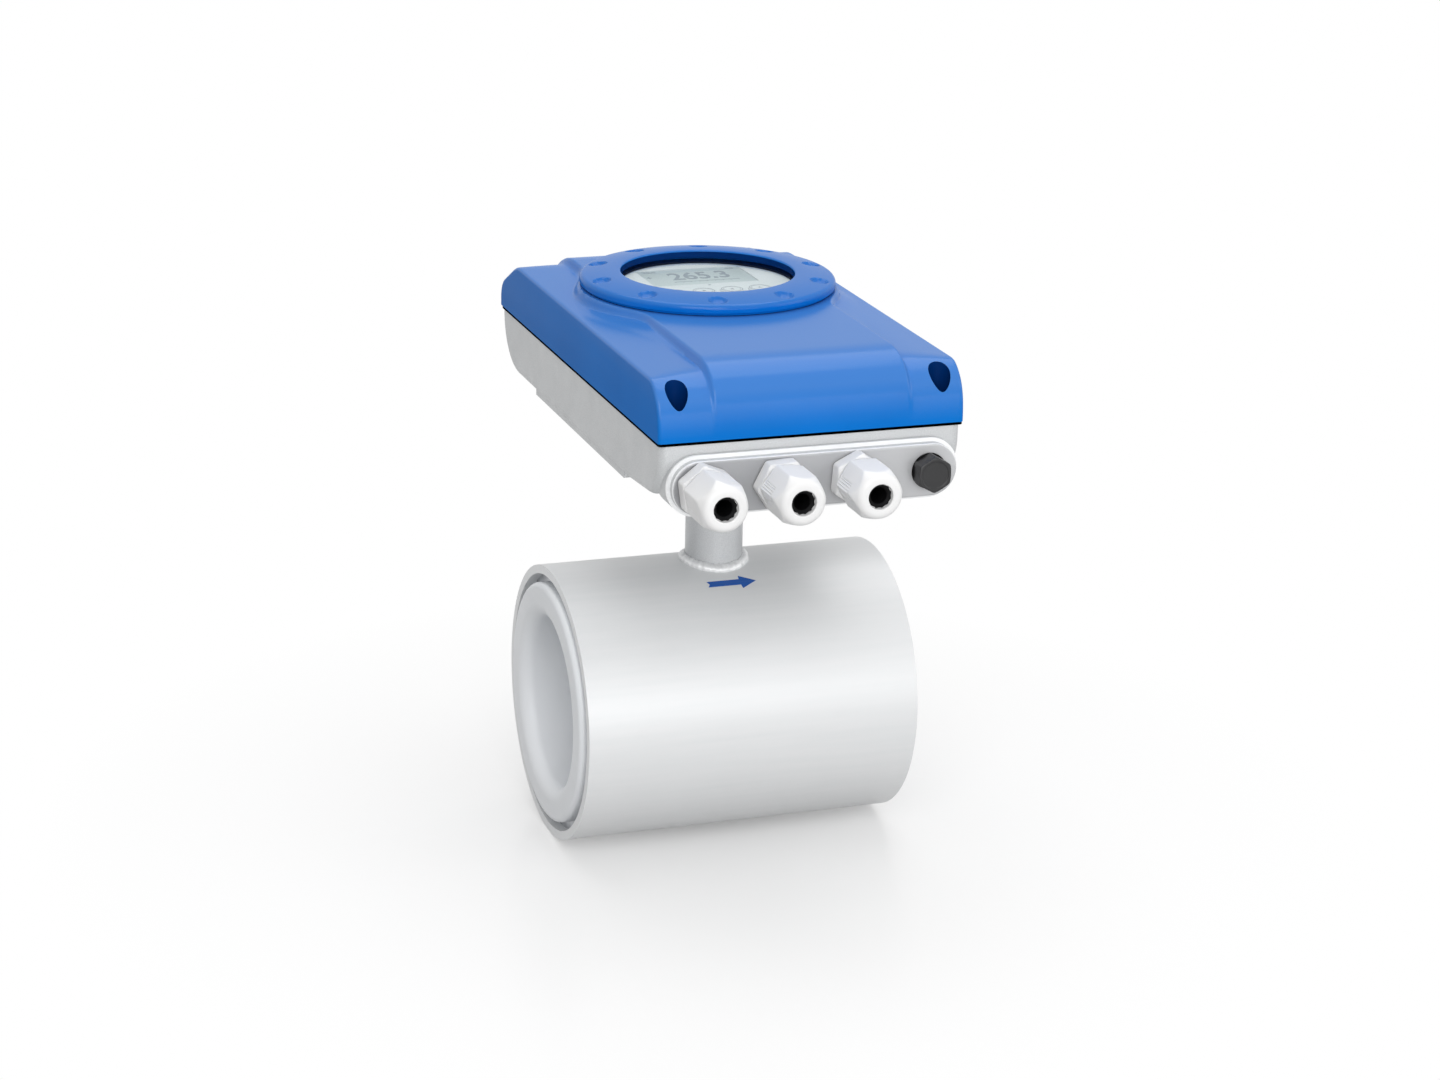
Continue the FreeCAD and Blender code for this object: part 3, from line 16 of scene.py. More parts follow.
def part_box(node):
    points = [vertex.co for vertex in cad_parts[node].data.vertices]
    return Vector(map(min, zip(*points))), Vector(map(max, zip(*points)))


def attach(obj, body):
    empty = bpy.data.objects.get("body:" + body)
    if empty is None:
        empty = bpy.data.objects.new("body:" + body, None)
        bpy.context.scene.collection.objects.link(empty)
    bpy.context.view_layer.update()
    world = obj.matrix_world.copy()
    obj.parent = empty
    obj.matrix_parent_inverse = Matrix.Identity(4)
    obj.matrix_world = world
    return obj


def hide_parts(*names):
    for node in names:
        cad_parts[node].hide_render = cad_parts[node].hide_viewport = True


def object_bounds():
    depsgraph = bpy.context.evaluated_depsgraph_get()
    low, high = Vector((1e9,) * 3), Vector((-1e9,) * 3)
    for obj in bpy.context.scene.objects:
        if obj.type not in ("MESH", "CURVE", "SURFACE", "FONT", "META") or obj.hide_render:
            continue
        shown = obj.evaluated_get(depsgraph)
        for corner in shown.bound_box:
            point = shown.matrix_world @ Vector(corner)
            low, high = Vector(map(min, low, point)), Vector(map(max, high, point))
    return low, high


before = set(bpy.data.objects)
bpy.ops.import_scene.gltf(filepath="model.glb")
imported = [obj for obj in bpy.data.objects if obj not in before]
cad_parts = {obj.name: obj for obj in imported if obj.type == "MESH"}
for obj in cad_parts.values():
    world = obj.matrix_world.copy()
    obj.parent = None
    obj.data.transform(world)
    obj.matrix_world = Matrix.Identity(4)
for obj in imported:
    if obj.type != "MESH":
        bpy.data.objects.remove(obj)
cad_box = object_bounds()
MM = 0.001

# %% [markdown]
# The driving places are read once and given names: the pipe, the joint between base and cover, the
# window's centre and the radii of pipe, neck and pane. A node's box is symmetric about its axis, so
# the middle of the box is the axis.

# %% Places taken from the frame
cover_low, cover_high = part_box("cover")
base_low, base_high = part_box("base_housing")
bezel_low, bezel_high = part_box("bezel_ring")

shell_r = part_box("sensor_housing")[1].z
window_y = (bezel_low.y + bezel_high.y) / 2
rim_z = bezel_high.z
seat_z = cover_low.z
neck_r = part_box("neck_tube")[1].x
pane_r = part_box("window_glass")[1].x


def centre(node):
    low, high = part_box(node)
    return (low + high) / 2


def placed(name, data):
    """A new object in the scene."""
    obj = bpy.data.objects.new(name, data)
    bpy.context.scene.collection.objects.link(obj)
    return obj


def as_data(name, mesh):
    """Turns a bmesh into mesh data and frees it."""
    data = bpy.data.meshes.new(name)
    mesh.to_mesh(data)
    mesh.free()
    return data


def thickened(mesh, height):
    """Extrudes all faces of a flat bmesh straight up."""
    risen = bmesh.ops.extrude_face_region(mesh, geom=mesh.faces[:])["geom"]
    bmesh.ops.translate(mesh, verts=[v for v in risen if isinstance(v, bmesh.types.BMVert)],
                        vec=(0, 0, height))
    bmesh.ops.recalc_face_normals(mesh, faces=mesh.faces)
    return mesh


def mm(*corners):
    """Corners in millimetres, as corners in metres."""
    return [tuple(value * MM for value in corner) for corner in corners]


print("pipe radius", round(shell_r, 4), "window centre", round(window_y, 4))

# %% [markdown]
# ## Camera and stage
# The view comes from the front left and a little above, from nearly two metres away with a longer
# lens, which keeps the box of the converter from flaring. The camera's own axes are worked
# out from three angles: round the object, up, and a small roll.

# %% Camera
AZIMUTH, ELEVATION, ROLL = (math.radians(a) for a in (-19.687, 18.365, 1.451))
CAMERA_PLACE = Vector((-0.58743, -1.65243, 0.67151))
LENS = 80.66

look_back = Vector((math.sin(AZIMUTH) * math.cos(ELEVATION),
                    -math.cos(AZIMUTH) * math.cos(ELEVATION), math.sin(ELEVATION)))
level = Vector((math.cos(AZIMUTH), math.sin(AZIMUTH), 0))
upward = look_back.cross(level)
right = level * math.cos(ROLL) + upward * math.sin(ROLL)
top = upward * math.cos(ROLL) - level * math.sin(ROLL)

camera = placed("camera", bpy.data.cameras.new("camera"))
camera.data.lens = LENS
camera.data.clip_end = 30
axes = Matrix((right, top, look_back)).transposed()
camera.matrix_world = Matrix.Translation(CAMERA_PLACE) @ axes.to_4x4()
bpy.context.scene.camera = camera
print("camera at", [round(v, 3) for v in CAMERA_PLACE])

# %% [markdown]
# A material is a small graph of nodes. These helpers make the graphs short to write: `Graph` starts
# a material, `add` puts a node in it and links its inputs, and `paint` turns a colour as a screen
# shows it (0 to 255) into the linear values that a renderer adds and multiplies. `looked_at` tells a
# ray that shows a surface from one that only gathers light.


# %% Helpers for materials
def paint(red, green, blue):
    def linear(value):
        value /= 255
        return value / 12.92 if value <= 0.04045 else ((value + 0.055) / 1.055) ** 2.4
    return (linear(red), linear(green), linear(blue), 1)


def feed(tree, value, socket):
    """Links a socket to a node's output, or sets it to a plain value."""
    if isinstance(value, bpy.types.NodeSocket):
        tree.links.new(value, socket)
    else:
        socket.default_value = value


class Graph:
    """A material's node tree with its main shader."""

    def __init__(self, name, colour, metallic=0.0, roughness=0.5):
        self.material = bpy.data.materials.new(name)
        self.material.use_nodes = True
        self.material.diffuse_color = colour
        self.tree = self.material.node_tree
        self.shader = self.tree.nodes["Principled BSDF"]
        self.output = self.tree.nodes["Material Output"]
        self.shader.inputs["Base Color"].default_value = colour
        self.shader.inputs["Metallic"].default_value = metallic
        self.shader.inputs["Roughness"].default_value = roughness
        self.place = self.tree.nodes.new("ShaderNodeTexCoord").outputs["Object"]

    def add(self, kind, settings=None, **links):
        node = self.tree.nodes.new("ShaderNode" + kind)
        for key, value in (settings or {}).items():
            setattr(node, key, value)
        for key, value in links.items():
            socket = node.inputs[int(key[1:])] if key[0] == "_" else node.inputs[key.replace("_", " ")]
            feed(self.tree, value, socket)
        return node

    def stretched(self, x, y, z):
        """Object coordinates in units of 1/x, 1/y and 1/z metres."""
        return self.add("Mapping", Vector=self.place, Scale=(x, y, z)).outputs[0]

    def noise(self, scale, detail=3, place=None, rough=0.5):
        node = self.add("TexNoise", Vector=place or self.place, Scale=scale, Detail=detail,
                        Roughness=rough)
        return node.outputs[0]

    def spread(self, value, low, high, start=0.3, end=0.7):
        """Maps a pattern from start..end to low..high."""
        return self.add("MapRange", Value=value, From_Min=start, From_Max=end, To_Min=low,
                        To_Max=high).outputs[0]

    def blend(self, share, first, second):
        node = self.add("Mix", {"data_type": "RGBA"}, _0=share)
        feed(self.tree, first, node.inputs[6])
        feed(self.tree, second, node.inputs[7])
        return node.outputs[2]

    def set(self, name, value):
        feed(self.tree, value, self.shader.inputs[name])
        return self

    def bump(self, height, depth, strength=1.0):
        """Raises the surface by a pattern. depth is in millimetres."""
        node = self.add("Bump", Height=height, Strength=strength, Distance=depth * MM)
        return self.set("Normal", node.outputs[0])


def looked_at(tree):
    """1 where the camera, a mirror or clear glass looks, and 0 where light is gathered."""
    path = tree.nodes.new("ShaderNodeLightPath")
    seen = path.outputs["Is Camera Ray"]
    for kind in ("Is Glossy Ray", "Is Transmission Ray"):
        either = tree.nodes.new("ShaderNodeMath")
        either.operation = "MAXIMUM"
        tree.links.new(seen, either.inputs[0])
        tree.links.new(path.outputs[kind], either.inputs[1])
        seen = either.outputs[0]
    return seen


# %% [markdown]
# The floor is plain and pale. Near the object it is a real surface that takes the shadow and a faint
# mirror image, and further off it fades into the white of the studio. The fade is a gradient on the
# floor's own coordinates, so it stays where it is when the camera moves. To rays that only gather
# light the floor is a darker grey, so that it does not light the meter from below too strongly.

# %% Floor
FLOOR_HALF = 6.0
FADE_START, FADE_END = 0.0, 0.4
FLOOR_SHOWN, FLOOR_GATHERED = (0.93, 0.93, 0.93, 1), (0.42, 0.42, 0.42, 1)
WHITE = (1, 1, 1, 1)
floor_z = cad_box[0].z

floor_mesh = bmesh.new()
bmesh.ops.create_grid(floor_mesh, x_segments=1, y_segments=1, size=FLOOR_HALF,
                      matrix=Matrix.Translation((0, 0, floor_z)))
floor = placed("floor", as_data("floor", floor_mesh))

g = Graph("floor_white", FLOOR_SHOWN, roughness=0.22)
away = g.add("VectorMath", {"operation": "LENGTH"}, _0=g.place).outputs["Value"]
fade = g.spread(away, 0.0, 1.0, FADE_START, FADE_END)
seen = looked_at(g.tree)
g.set("Base Color", g.blend(seen, FLOOR_GATHERED, FLOOR_SHOWN))
share = g.add("Math", {"operation": "MULTIPLY"}, _0=fade, _1=seen)
white = g.add("Emission", Color=WHITE, Strength=1.0)
mix = g.add("MixShader", Fac=share.outputs[0])
g.tree.links.new(g.shader.outputs[0], mix.inputs[1])
g.tree.links.new(white.outputs[0], mix.inputs[2])
g.tree.links.new(mix.outputs[0], g.output.inputs["Surface"])
floor.data.materials.append(g.material)
print("floor at", round(floor_z, 4))

# %% [markdown]
# The world is white where the camera, a mirror or clear glass looks at it, and a softer grey where it
# only lights the object. Four large area lamps do the shaping: a key from the upper left, a low one
# from the front, a fill from the right, and one overhead that lights the top of the cover. Large
# lamps make soft shadows, because each point of a shadow sees part of the lamp.

# %% World and lamps
world = bpy.data.worlds.new("studio")
world.use_nodes = True
bpy.context.scene.world = world
tree = world.node_tree
background = tree.nodes["Background"]
AMBIENT = 0.47
level_of = tree.nodes.new("ShaderNodeMapRange")
level_of.inputs["To Min"].default_value = AMBIENT
level_of.inputs["To Max"].default_value = 1.0
tree.links.new(looked_at(tree), level_of.inputs["Value"])
tree.links.new(level_of.outputs[0], background.inputs["Strength"])
background.inputs["Color"].default_value = WHITE

TARGET = Vector((0, 0, 0.09))


def softbox(name, place, width, height, power):
    lamp = bpy.data.lights.new(name, "AREA")
    lamp.shape = "RECTANGLE"
    lamp.size, lamp.size_y, lamp.energy = width, height, power
    holder = placed(name, lamp)
    holder.location = place
    holder.rotation_euler = (Vector(place) - TARGET).to_track_quat("Z", "Y").to_euler()


softbox("key", (-0.7, -1.6, 1.1), 1.2, 1.2, 14.5)
softbox("front", (0.1, -1.9, 0.3), 1.6, 0.9, 10)
softbox("fill", (1.6, -0.9, 0.5), 1.0, 1.4, 6)
softbox("overhead", (0.1, 0.4, 1.6), 1.4, 1.4, 12)
bpy.context.scene.view_settings.view_transform = "Standard"

# %% [markdown]
# ## Finishes
# The cover and the bezel are cast parts in a smooth blue enamel, under a clear lacquer. Enamel flows
# while it cures, so it has a very faint waviness, the orange peel. A fine noise drives that as a bump,
# and a wide noise shifts the colour a little. All the gloss comes from the coat, which is full where
# it flowed level on top and thin on the upright sides, where it ran down. The faces that look up are
# painted a little paler, a painted highlight of the light from above. The screw wells and the inner
# wall of the bezel get a much darker blue, a painted shade of these recesses.


# %% Blue enamel
LEVEL_FROM = 0.5
SHADE_SCALE, PEEL_SCALE, PEEL_DEPTH = 14, 380, 0.03


def enamel(name, deep, pale, level, top_gloss, side_gloss, roughness):
    g = Graph(name, deep, roughness=0.5)
    facing = g.add("NewGeometry").outputs["Normal"]
    up = g.add("SeparateXYZ", Vector=facing).outputs[2]
    tone = g.blend(g.spread(g.noise(SHADE_SCALE, 2), 0, 1), deep, pale)
    # Painted highlight: the faces that look up get the paler level colour, for the light from above.
    g.set("Base Color", g.blend(g.spread(up, 0, 1, 0.02, LEVEL_FROM), tone, level))
    g.shader.inputs["Specular IOR Level"].default_value = 0.0
    g.set("Coat Weight", g.spread(up, side_gloss, top_gloss, 0.0, LEVEL_FROM))
    g.shader.inputs["Coat Roughness"].default_value = roughness
    return g.bump(g.noise(PEEL_SCALE, 2), PEEL_DEPTH, 0.25).material


# The third colour of each enamel is the painted highlight of the faces that look up.
blue = enamel("blue_enamel", paint(0, 106, 192), paint(6, 112, 200), paint(56, 118, 194),
              0.55, 0.16, 0.2)
bezel_blue = enamel("bezel_enamel", paint(0, 104, 192), paint(4, 109, 198), paint(30, 108, 190),
                    0.5, 0.2, 0.14)
# The dark blue is painted shade for the screw wells and the wall of the bezel's window.
painted_shade_blue = enamel("well_painted_shade", paint(0, 38, 92), paint(2, 44, 104), paint(2, 44, 104),
                   0.1, 0.05, 0.3)

# %% [markdown]
# The base, the neck and its flange carry a silver-grey powder coat. Powder melts into a slightly
# pebbled skin with fine metal flakes in it. One small noise is the pebble, a second and finer one
# mixes two greys for the flakes. The face for the cable entries is painted a darker grey, a painted
# shade that grows lighter from left to right, and two bright bands along its edge and along the edge
# of the skirt round it are painted highlights.


# %% Silver powder coat
# Painted shade of the pad face, darker on the left, and the painted highlight of its edges.
PAD_SHADE_LEFT, PAD_SHADE_RIGHT = paint(150, 151, 154), paint(188, 189, 191)
EDGE_HIGHLIGHT, EDGE_HIGHLIGHT_BANDS = paint(238, 239, 240), ((0.4, 1.4), (4.6, 6.0))
FLAKE_SCALE, PATCH_SCALE, SHEEN_SCALE, PEBBLE_SCALE = 1800, 25, 90, 650


def powder_coat(name, dark, light, metallic, roughness, pebble, shaded_pad_y=None):
    g = Graph(name, light, metallic, roughness)
    tone = g.blend(g.spread(g.noise(FLAKE_SCALE, 2), 0, 1, 0.35, 0.65), dark, light)
    tone = g.blend(g.spread(g.noise(PATCH_SCALE, 2), 0.0, 0.25), tone, light)
    if shaded_pad_y is not None:
        across, along = g.add("SeparateXYZ", Vector=g.place).outputs[:2]
        # Painted shade: the pad face is darker, and lighter towards the right.
        face = g.blend(g.spread(across, 0, 1, -0.08, 0.08), PAD_SHADE_LEFT, PAD_SHADE_RIGHT)
        tone = g.blend(g.spread(along, 1, 0, shaded_pad_y + 0.1 * MM, shaded_pad_y + 0.4 * MM), tone, face)
        # Painted highlights: two bright bands along the edges of the pad and of the skirt.
        for start, end in EDGE_HIGHLIGHT_BANDS:
            up = g.spread(along, 0, 1, shaded_pad_y + (start - 0.2) * MM, shaded_pad_y + (start + 0.2) * MM)
            down = g.spread(along, 1, 0, shaded_pad_y + (end - 0.2) * MM, shaded_pad_y + (end + 0.2) * MM)
            edge = g.add("Math", {"operation": "MULTIPLY"}, _0=up, _1=down).outputs[0]
            tone = g.blend(edge, tone, EDGE_HIGHLIGHT)
    g.set("Base Color", tone)
    g.set("Roughness", g.spread(g.noise(SHEEN_SCALE, 3), roughness - 0.05, roughness + 0.06))
    return g.bump(g.noise(PEBBLE_SCALE, 3), pebble, 0.4).material


silver = powder_coat("silver_coat", paint(184, 186, 188), paint(200, 202, 203), 0.3, 0.42, 0.1,
                     base_low.y)
neck_silver = powder_coat("neck_coat", paint(186, 188, 190), paint(200, 202, 204), 0.35, 0.38,
                          0.05)

# %% [markdown]
# The sensor housing is a rolled and blasted steel shell. Rolling leaves a grain that runs along the
# pipe, so its noise is stretched: many cycles across the pipe, few along it. Blasting has left very
# little of it, so the tone, the relief and the roughness move only slightly with the grain.


# %% Blasted steel
def blasted_steel(name, dark, light, metallic, roughness, along, relief=0.03):
    g = Graph(name, light, metallic, roughness)
    grain = g.noise(1.0, 4, g.stretched(*along))
    spots = g.noise(9, 3)
    tone = g.blend(g.spread(grain, 0, 1), dark, light)
    g.set("Base Color", g.blend(g.spread(spots, 0.0, 0.4), tone, light))
    g.set("Roughness", g.spread(grain, roughness - 0.01, roughness + 0.02))
    fine = g.noise(900, 2)
    height = g.add("Math", {"operation": "ADD"}, _0=grain, _1=fine).outputs[0]
    return g.bump(height, relief, 0.3).material


shell_steel = blasted_steel("shell_steel", paint(221, 223, 224), paint(225, 226, 227), 0.12, 0.38,
                            (14, 260, 260), 0.0015)
turned_steel = blasted_steel("turned_steel", paint(150, 152, 156), paint(186, 188, 192), 0.9, 0.3,
                             (600, 120, 120))
bright_steel = blasted_steel("bright_steel", paint(178, 180, 184), paint(206, 208, 212), 1.0, 0.25,
                             (200, 200, 900))

# %% [markdown]
# Moulded plastics and rubber are simple: one colour, a soft gloss, and the fine texture of the mould.
# A little light enters white plastics before it leaves again, which is what subsurface scattering
# does. It keeps their shadows soft and bright. Black rubber is dull, so it hardly mirrors anything.


# %% Plastics and rubber
def moulded(name, dark, light, roughness, scale, depth, glow=0.0, dull=None):
    g = Graph(name, light, roughness=roughness)
    cloud = g.noise(scale * 0.12, 3)
    g.set("Base Color", g.blend(g.spread(cloud, 0, 1), dark, light))
    g.set("Roughness", g.spread(g.noise(scale, 3), roughness - 0.05, roughness + 0.08))
    if glow:
        g.shader.inputs["Subsurface Weight"].default_value = glow
        g.shader.inputs["Subsurface Radius"].default_value = (0.003, 0.003, 0.003)
        g.shader.inputs["Subsurface Scale"].default_value = 1.0
    if dull is not None:
        g.shader.inputs["Specular IOR Level"].default_value = dull
    return g.bump(g.noise(scale * 6, 2), depth, 0.4).material


liner_white = moulded("liner_white", paint(226, 229, 232), paint(234, 236, 239), 0.4, 60, 0.05, 0.08)
gland_white = moulded("gland_white", paint(228, 228, 228), paint(234, 234, 234), 0.36, 120, 0.03,
                      0.05)
plug_black = moulded("plug_black", paint(18, 18, 20), paint(30, 30, 32), 0.36, 160, 0.06)
seal_black = moulded("seal_rubber", paint(6, 6, 7), paint(12, 12, 13), 0.6, 200, 0.05, dull=0.15)
gasket_black = moulded("gasket_rubber", paint(3, 4, 8), paint(8, 10, 14), 0.85, 150, 0.08, dull=0.1)
panel_grey = moulded("panel_grey", paint(208, 214, 218), paint(216, 221, 224), 0.45, 90, 0.02)
board_green = moulded("board_green", paint(12, 62, 40), paint(20, 84, 52), 0.4, 200, 0.02)
terminal_green = moulded("terminal_green", paint(36, 120, 62), paint(44, 136, 72), 0.42, 90, 0.03)
bush_brown = moulded("bush_brown", paint(186, 160, 112), paint(204, 178, 128), 0.45, 90, 0.03)
core_dark = moulded("core_lamination", paint(62, 62, 66), paint(92, 92, 96), 0.4, 500, 0.1)

# %% [markdown]
# Copper windings show as fine parallel turns. A wave pattern gives rings round the coil's axis, and
# its height makes the turns catch the light.


# %% Windings and foil
def winding(name, dark, light, turns, direction):
    g = Graph(name, light, 0.8, 0.35)
    wave = g.add("TexWave", {"wave_type": "BANDS", "bands_direction": direction},
                 Vector=g.place, Scale=turns, Distortion=0.3).outputs["Fac"]
    g.set("Base Color", g.blend(wave, dark, light))
    return g.bump(wave, 0.2, 0.6).material


copper = winding("copper_winding", paint(120, 60, 34), paint(196, 116, 72), 300, "Z")
foil = winding("capacitor_foil", paint(28, 34, 58), paint(40, 48, 78), 20, "X")

# %% [markdown]
# The window is clear float glass with an anti-glare coat. A plain glass shader would keep the lamps
# off the display, because light through glass counts as a caustic. A clear shader lets all light
# pass straight through, and a weak mirror is mixed in that grows as the view grazes the pane.

# %% Window glass
g = Graph("window_glass", (0.97, 0.985, 0.98, 1), roughness=0.02)
clear = g.add("BsdfTransparent", Color=(0.95, 0.97, 0.97, 1))
shine = g.add("BsdfGlossy", Color=WHITE,
              Roughness=g.spread(g.noise(18, 4), 0.01, 0.05, 0.4, 0.8))
edge_on = g.add("Fresnel", IOR=1.15)
inside = g.add("NewGeometry").outputs["Backfacing"]
outside = g.add("Math", {"operation": "SUBTRACT"}, _0=1.0, _1=inside)
mirror = g.add("Math", {"operation": "MULTIPLY"}, _0=edge_on.outputs[0], _1=outside.outputs[0])
pane = g.add("MixShader", Fac=mirror.outputs[0])
g.tree.links.new(clear.outputs[0], pane.inputs[1])
g.tree.links.new(shine.outputs[0], pane.inputs[2])
g.tree.links.new(pane.outputs[0], g.output.inputs["Surface"])
glass_clear = g.material

# %% [markdown]
# The liquid crystal display has a grey-green reflective back with a fine grid of cells.

# %% Display glass
g = Graph("display_glass", paint(176, 190, 192), roughness=0.28)
cells = g.add("TexBrick", {"offset": 0.0}, Vector=g.place, Scale=700.0, Color1=paint(176, 190, 192),
              Color2=paint(180, 194, 196), Mortar=paint(170, 185, 188), Mortar_Size=0.03).outputs[0]
g.set("Base Color", g.blend(g.spread(g.noise(40, 2), 0, 0.3), cells, paint(186, 198, 200)))
lcd_finish = g.material

# %% [markdown]
# Each fixed part now takes its finish. The list reads like a parts list: the finish first, then the
# parts that have it.

# %% Finishes of the fixed parts
dressed = {
    blue: ["cover"],
    bezel_blue: ["bezel_ring"],
    silver: ["base_housing"],
    neck_silver: ["neck_tube", "neck_flange", "neck_weld"],
    shell_steel: ["sensor_housing"],
    turned_steel: ["inlet_end_ring", "outlet_end_ring", "measuring_tube", "magnet_yoke", "pole_cores",
                   "electrode_nuts", "display_pillars", "pillar_nuts"],
    bright_steel: ["electrodes", "neck_screws", "cover_screws", "board_screws"],
    liner_white: ["tube_liner"],
    gland_white: ["gland_bodies", "gland_dome_1", "gland_dome_2", "gland_dome_3"],
    plug_black: ["blanking_plug"],
    seal_black: ["gland_seal_1", "gland_seal_2", "gland_seal_3", "bezel_seal", "entry_washers"],
    gasket_black: ["cover_gasket", "glass_gasket", "glass_retainer", "key_switches"],
    panel_grey: ["display_panel", "key_1", "key_2", "key_3", "key_4"],
    board_green: ["main_board", "display_board"],
    terminal_green: ["terminal_blocks"],
    bush_brown: ["electrode_bushes"],
    core_dark: ["transformer_core"],
    copper: ["field_coils", "transformer_coil"],
    foil: ["capacitors"],
    glass_clear: ["window_glass"],
    lcd_finish: ["lcd_module"],
}
for finish, names in dressed.items():
    for name in names:
        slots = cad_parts[name].data.materials
        slots.clear()
        slots.append(finish)
print("dressed", sum(len(names) for names in dressed.values()), "of", len(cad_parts), "nodes")

# %% [markdown]
# ## The detailed pieces
# The fixed parts have the right form and place. Where the eye rests, a finer piece stands for them:
# the cover with its soft ridges, the bezel with its dimples, the cable glands with their flats.
# These helpers turn a bmesh into an object, spin a profile, and round a profile's corners with arcs.


def piece(name, mesh, body, finish, stands_for=(), sharp=35):
    data = as_data(name, mesh)
    data.shade_smooth()
    data.set_sharp_from_angle(angle=math.radians(sharp))
    data.materials.append(finish)
    obj = placed(name, data)
    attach(obj, body)
    if stands_for:
        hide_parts(*stands_for)
    print(name, len(data.polygons), "faces")
    return obj


def arc(before, corner, after, radius, steps):
    """Points of a rounded corner between two straight runs, in a plane."""
    corner = Vector(corner)
    back = (Vector(before) - corner).normalized()
    ahead = (Vector(after) - corner).normalized()
    half = back.angle(ahead) / 2
    middle = corner + (back + ahead).normalized() * radius / math.sin(half)
    start = corner + back * radius / math.tan(half) - middle
    end = corner + ahead * radius / math.tan(half) - middle
    sweep = start.angle(end)
    points = []
    for k in range(steps + 1):
        share = k / steps
        if sweep < 1e-6:
            points.append(middle + start)
            continue
        mixed = (start * math.sin((1 - share) * sweep) + end * math.sin(share * sweep))
        points.append(middle + mixed / math.sin(sweep))
    return points


def rounded(corners, steps=5):
    """An open or closed profile in metres. A corner is (r, z) or, rounded, (r, z, radius)."""
    points = []
    for i, corner in enumerate(corners):
        if len(corner) == 2:
            points.append(Vector(corner))
            continue
        before, after = corners[i - 1][:2], corners[(i + 1) % len(corners)][:2]
        points += arc(before, corner[:2], after, corner[2], steps)
    return points


def spun(profile, place=(0, 0, 0), along="Z", segments=128, closed=True):
    """A bmesh of a profile of (radius, height) spun round an axis through a place."""
    mesh = bmesh.new()
    verts = [mesh.verts.new((p[0], 0, p[1])) for p in profile]
    pairs = list(zip(verts, verts[1:])) + ([(verts[-1], verts[0])] if closed else [])
    edges = [mesh.edges.new(pair) for pair in pairs]
    bmesh.ops.spin(mesh, geom=verts + edges, axis=(0, 0, 1), cent=(0, 0, 0), angle=2 * math.pi,
                   steps=segments, use_merge=True)
    bmesh.ops.remove_doubles(mesh, verts=mesh.verts, dist=1e-6)
    bmesh.ops.recalc_face_normals(mesh, faces=mesh.faces)
    turn = {"Z": Matrix(), "X": Matrix.Rotation(math.pi / 2, 4, "Y"),
            "-Y": Matrix.Rotation(math.pi / 2, 4, "X")}[along]
    mesh.transform(Matrix.Translation(place) @ turn)
    return mesh


def applied(obj):
    """Bakes an object's modifiers into its mesh."""
    bpy.context.view_layer.update()
    graph = bpy.context.evaluated_depsgraph_get()
    data = bpy.data.meshes.new_from_object(obj.evaluated_get(graph))
    obj.modifiers.clear()
    old, obj.data = obj.data, data
    bpy.data.meshes.remove(old)
    return obj


def carved(obj, *cutters):
    """Cuts bmesh forms out of an object with Boolean modifiers, one after the other."""
    for k, cutter in enumerate(cutters):
        tool = placed("cutter", as_data("cutter", cutter))
        modifier = obj.modifiers.new("cut_%d" % k, "BOOLEAN")
        modifier.operation, modifier.object, modifier.solver = "DIFFERENCE", tool, "EXACT"
        applied(obj)
        bpy.data.objects.remove(tool)
    return obj


def smooth_least(a, b, width):
    """The smaller of two numbers, with a soft change from one to the other."""
    share = max(width - abs(a - b), 0) / width
    return min(a, b) - share * share * width / 4


def ramp(share, soft=0.24):
    """A straight climb from 0 to 1 with a small rounding at each end."""
    share = min(max(share, 0), 1)
    if share < soft:
        return share * share / (2 * soft * (1 - soft))
    if share > 1 - soft:
        return 1 - (1 - share) ** 2 / (2 * soft * (1 - soft))
    return (share - soft / 2) / (1 - soft)


# %% [markdown]
# ### The cover
# The cover is one casting: a nose that rolls down at the front, a long falling back, and a raised
# middle that carries the bezel. The raised middle is a round boss with a strip to the front and one
# to the back, and its walls run into the shoulders in soft S-curves. That is hard to get with edge
# bevels, because the walls fade out on the nose, so the skin is a grid that is laid over the form.
# Each row of the grid belongs to a place along the side profile. There are two such profiles, one of
# the shoulders and one of the raised middle, and each point of the skin lies somewhere between them.
# How far is a matter of its distance from two outlines: the crest, where the wall starts to fall,
# and the foot, where it ends. Most of the height is lost in a short steep wall right below the crest.
# The rest fades out down to the foot, which swings out wide in front of the boss and makes a web.
# The start of the nose is averaged with its neighbours a few times over, which takes away the line
# where a flat run would meet an arc.

# %% Cover sizes
COVER_HALF = cover_high.x
COVER_FRONT, COVER_BACK = cover_low.y, cover_high.y
SIDE_EDGE = 1.9 * MM
NOSE, CROWN, TAIL = 25 * MM, 58 * MM, 14 * MM
NOSE_GROWTH = 0.3
TAIL_RUN, TAIL_RISE = 38 * MM, 13.5 * MM
SHOULDER_TOP, SIDE_TOP, SHOULDER_HALF = 33.3 * MM, 30.7 * MM, 54 * MM
MIDDLE_TOP = cover_high.z - seat_z
CREST_BOSS, CREST_FRONT, CREST_BACK = 73.0 * MM, 53.2 * MM, 55.8 * MM
FOOT_BOSS, FOOT_FRONT, FOOT_BACK = 76.0 * MM, 56 * MM, 59.4 * MM
CREST_WEB, FOOT_WEB, BACK_WEB = 8 * MM, 66 * MM, 12 * MM
STRIP_START = -15 * MM
WALL_RUN, WALL_SHARE = 2.6 * MM, 0.8
ROOF_SHARE, ROOF_LIFT, ROOF_BLEND = 0.43, 0.4 * MM, 1.5 * MM
FOOT_ROWS, NOSE_ROWS, ROOF_ROWS, CROWN_ROWS, FALL_ROWS, TAIL_ROWS, BACK_ROWS = 6, 28, 220, 16, 8, 14, 4
NOSE_PASSES, NOSE_KEPT, NOSE_BEYOND = 40, 3, 25


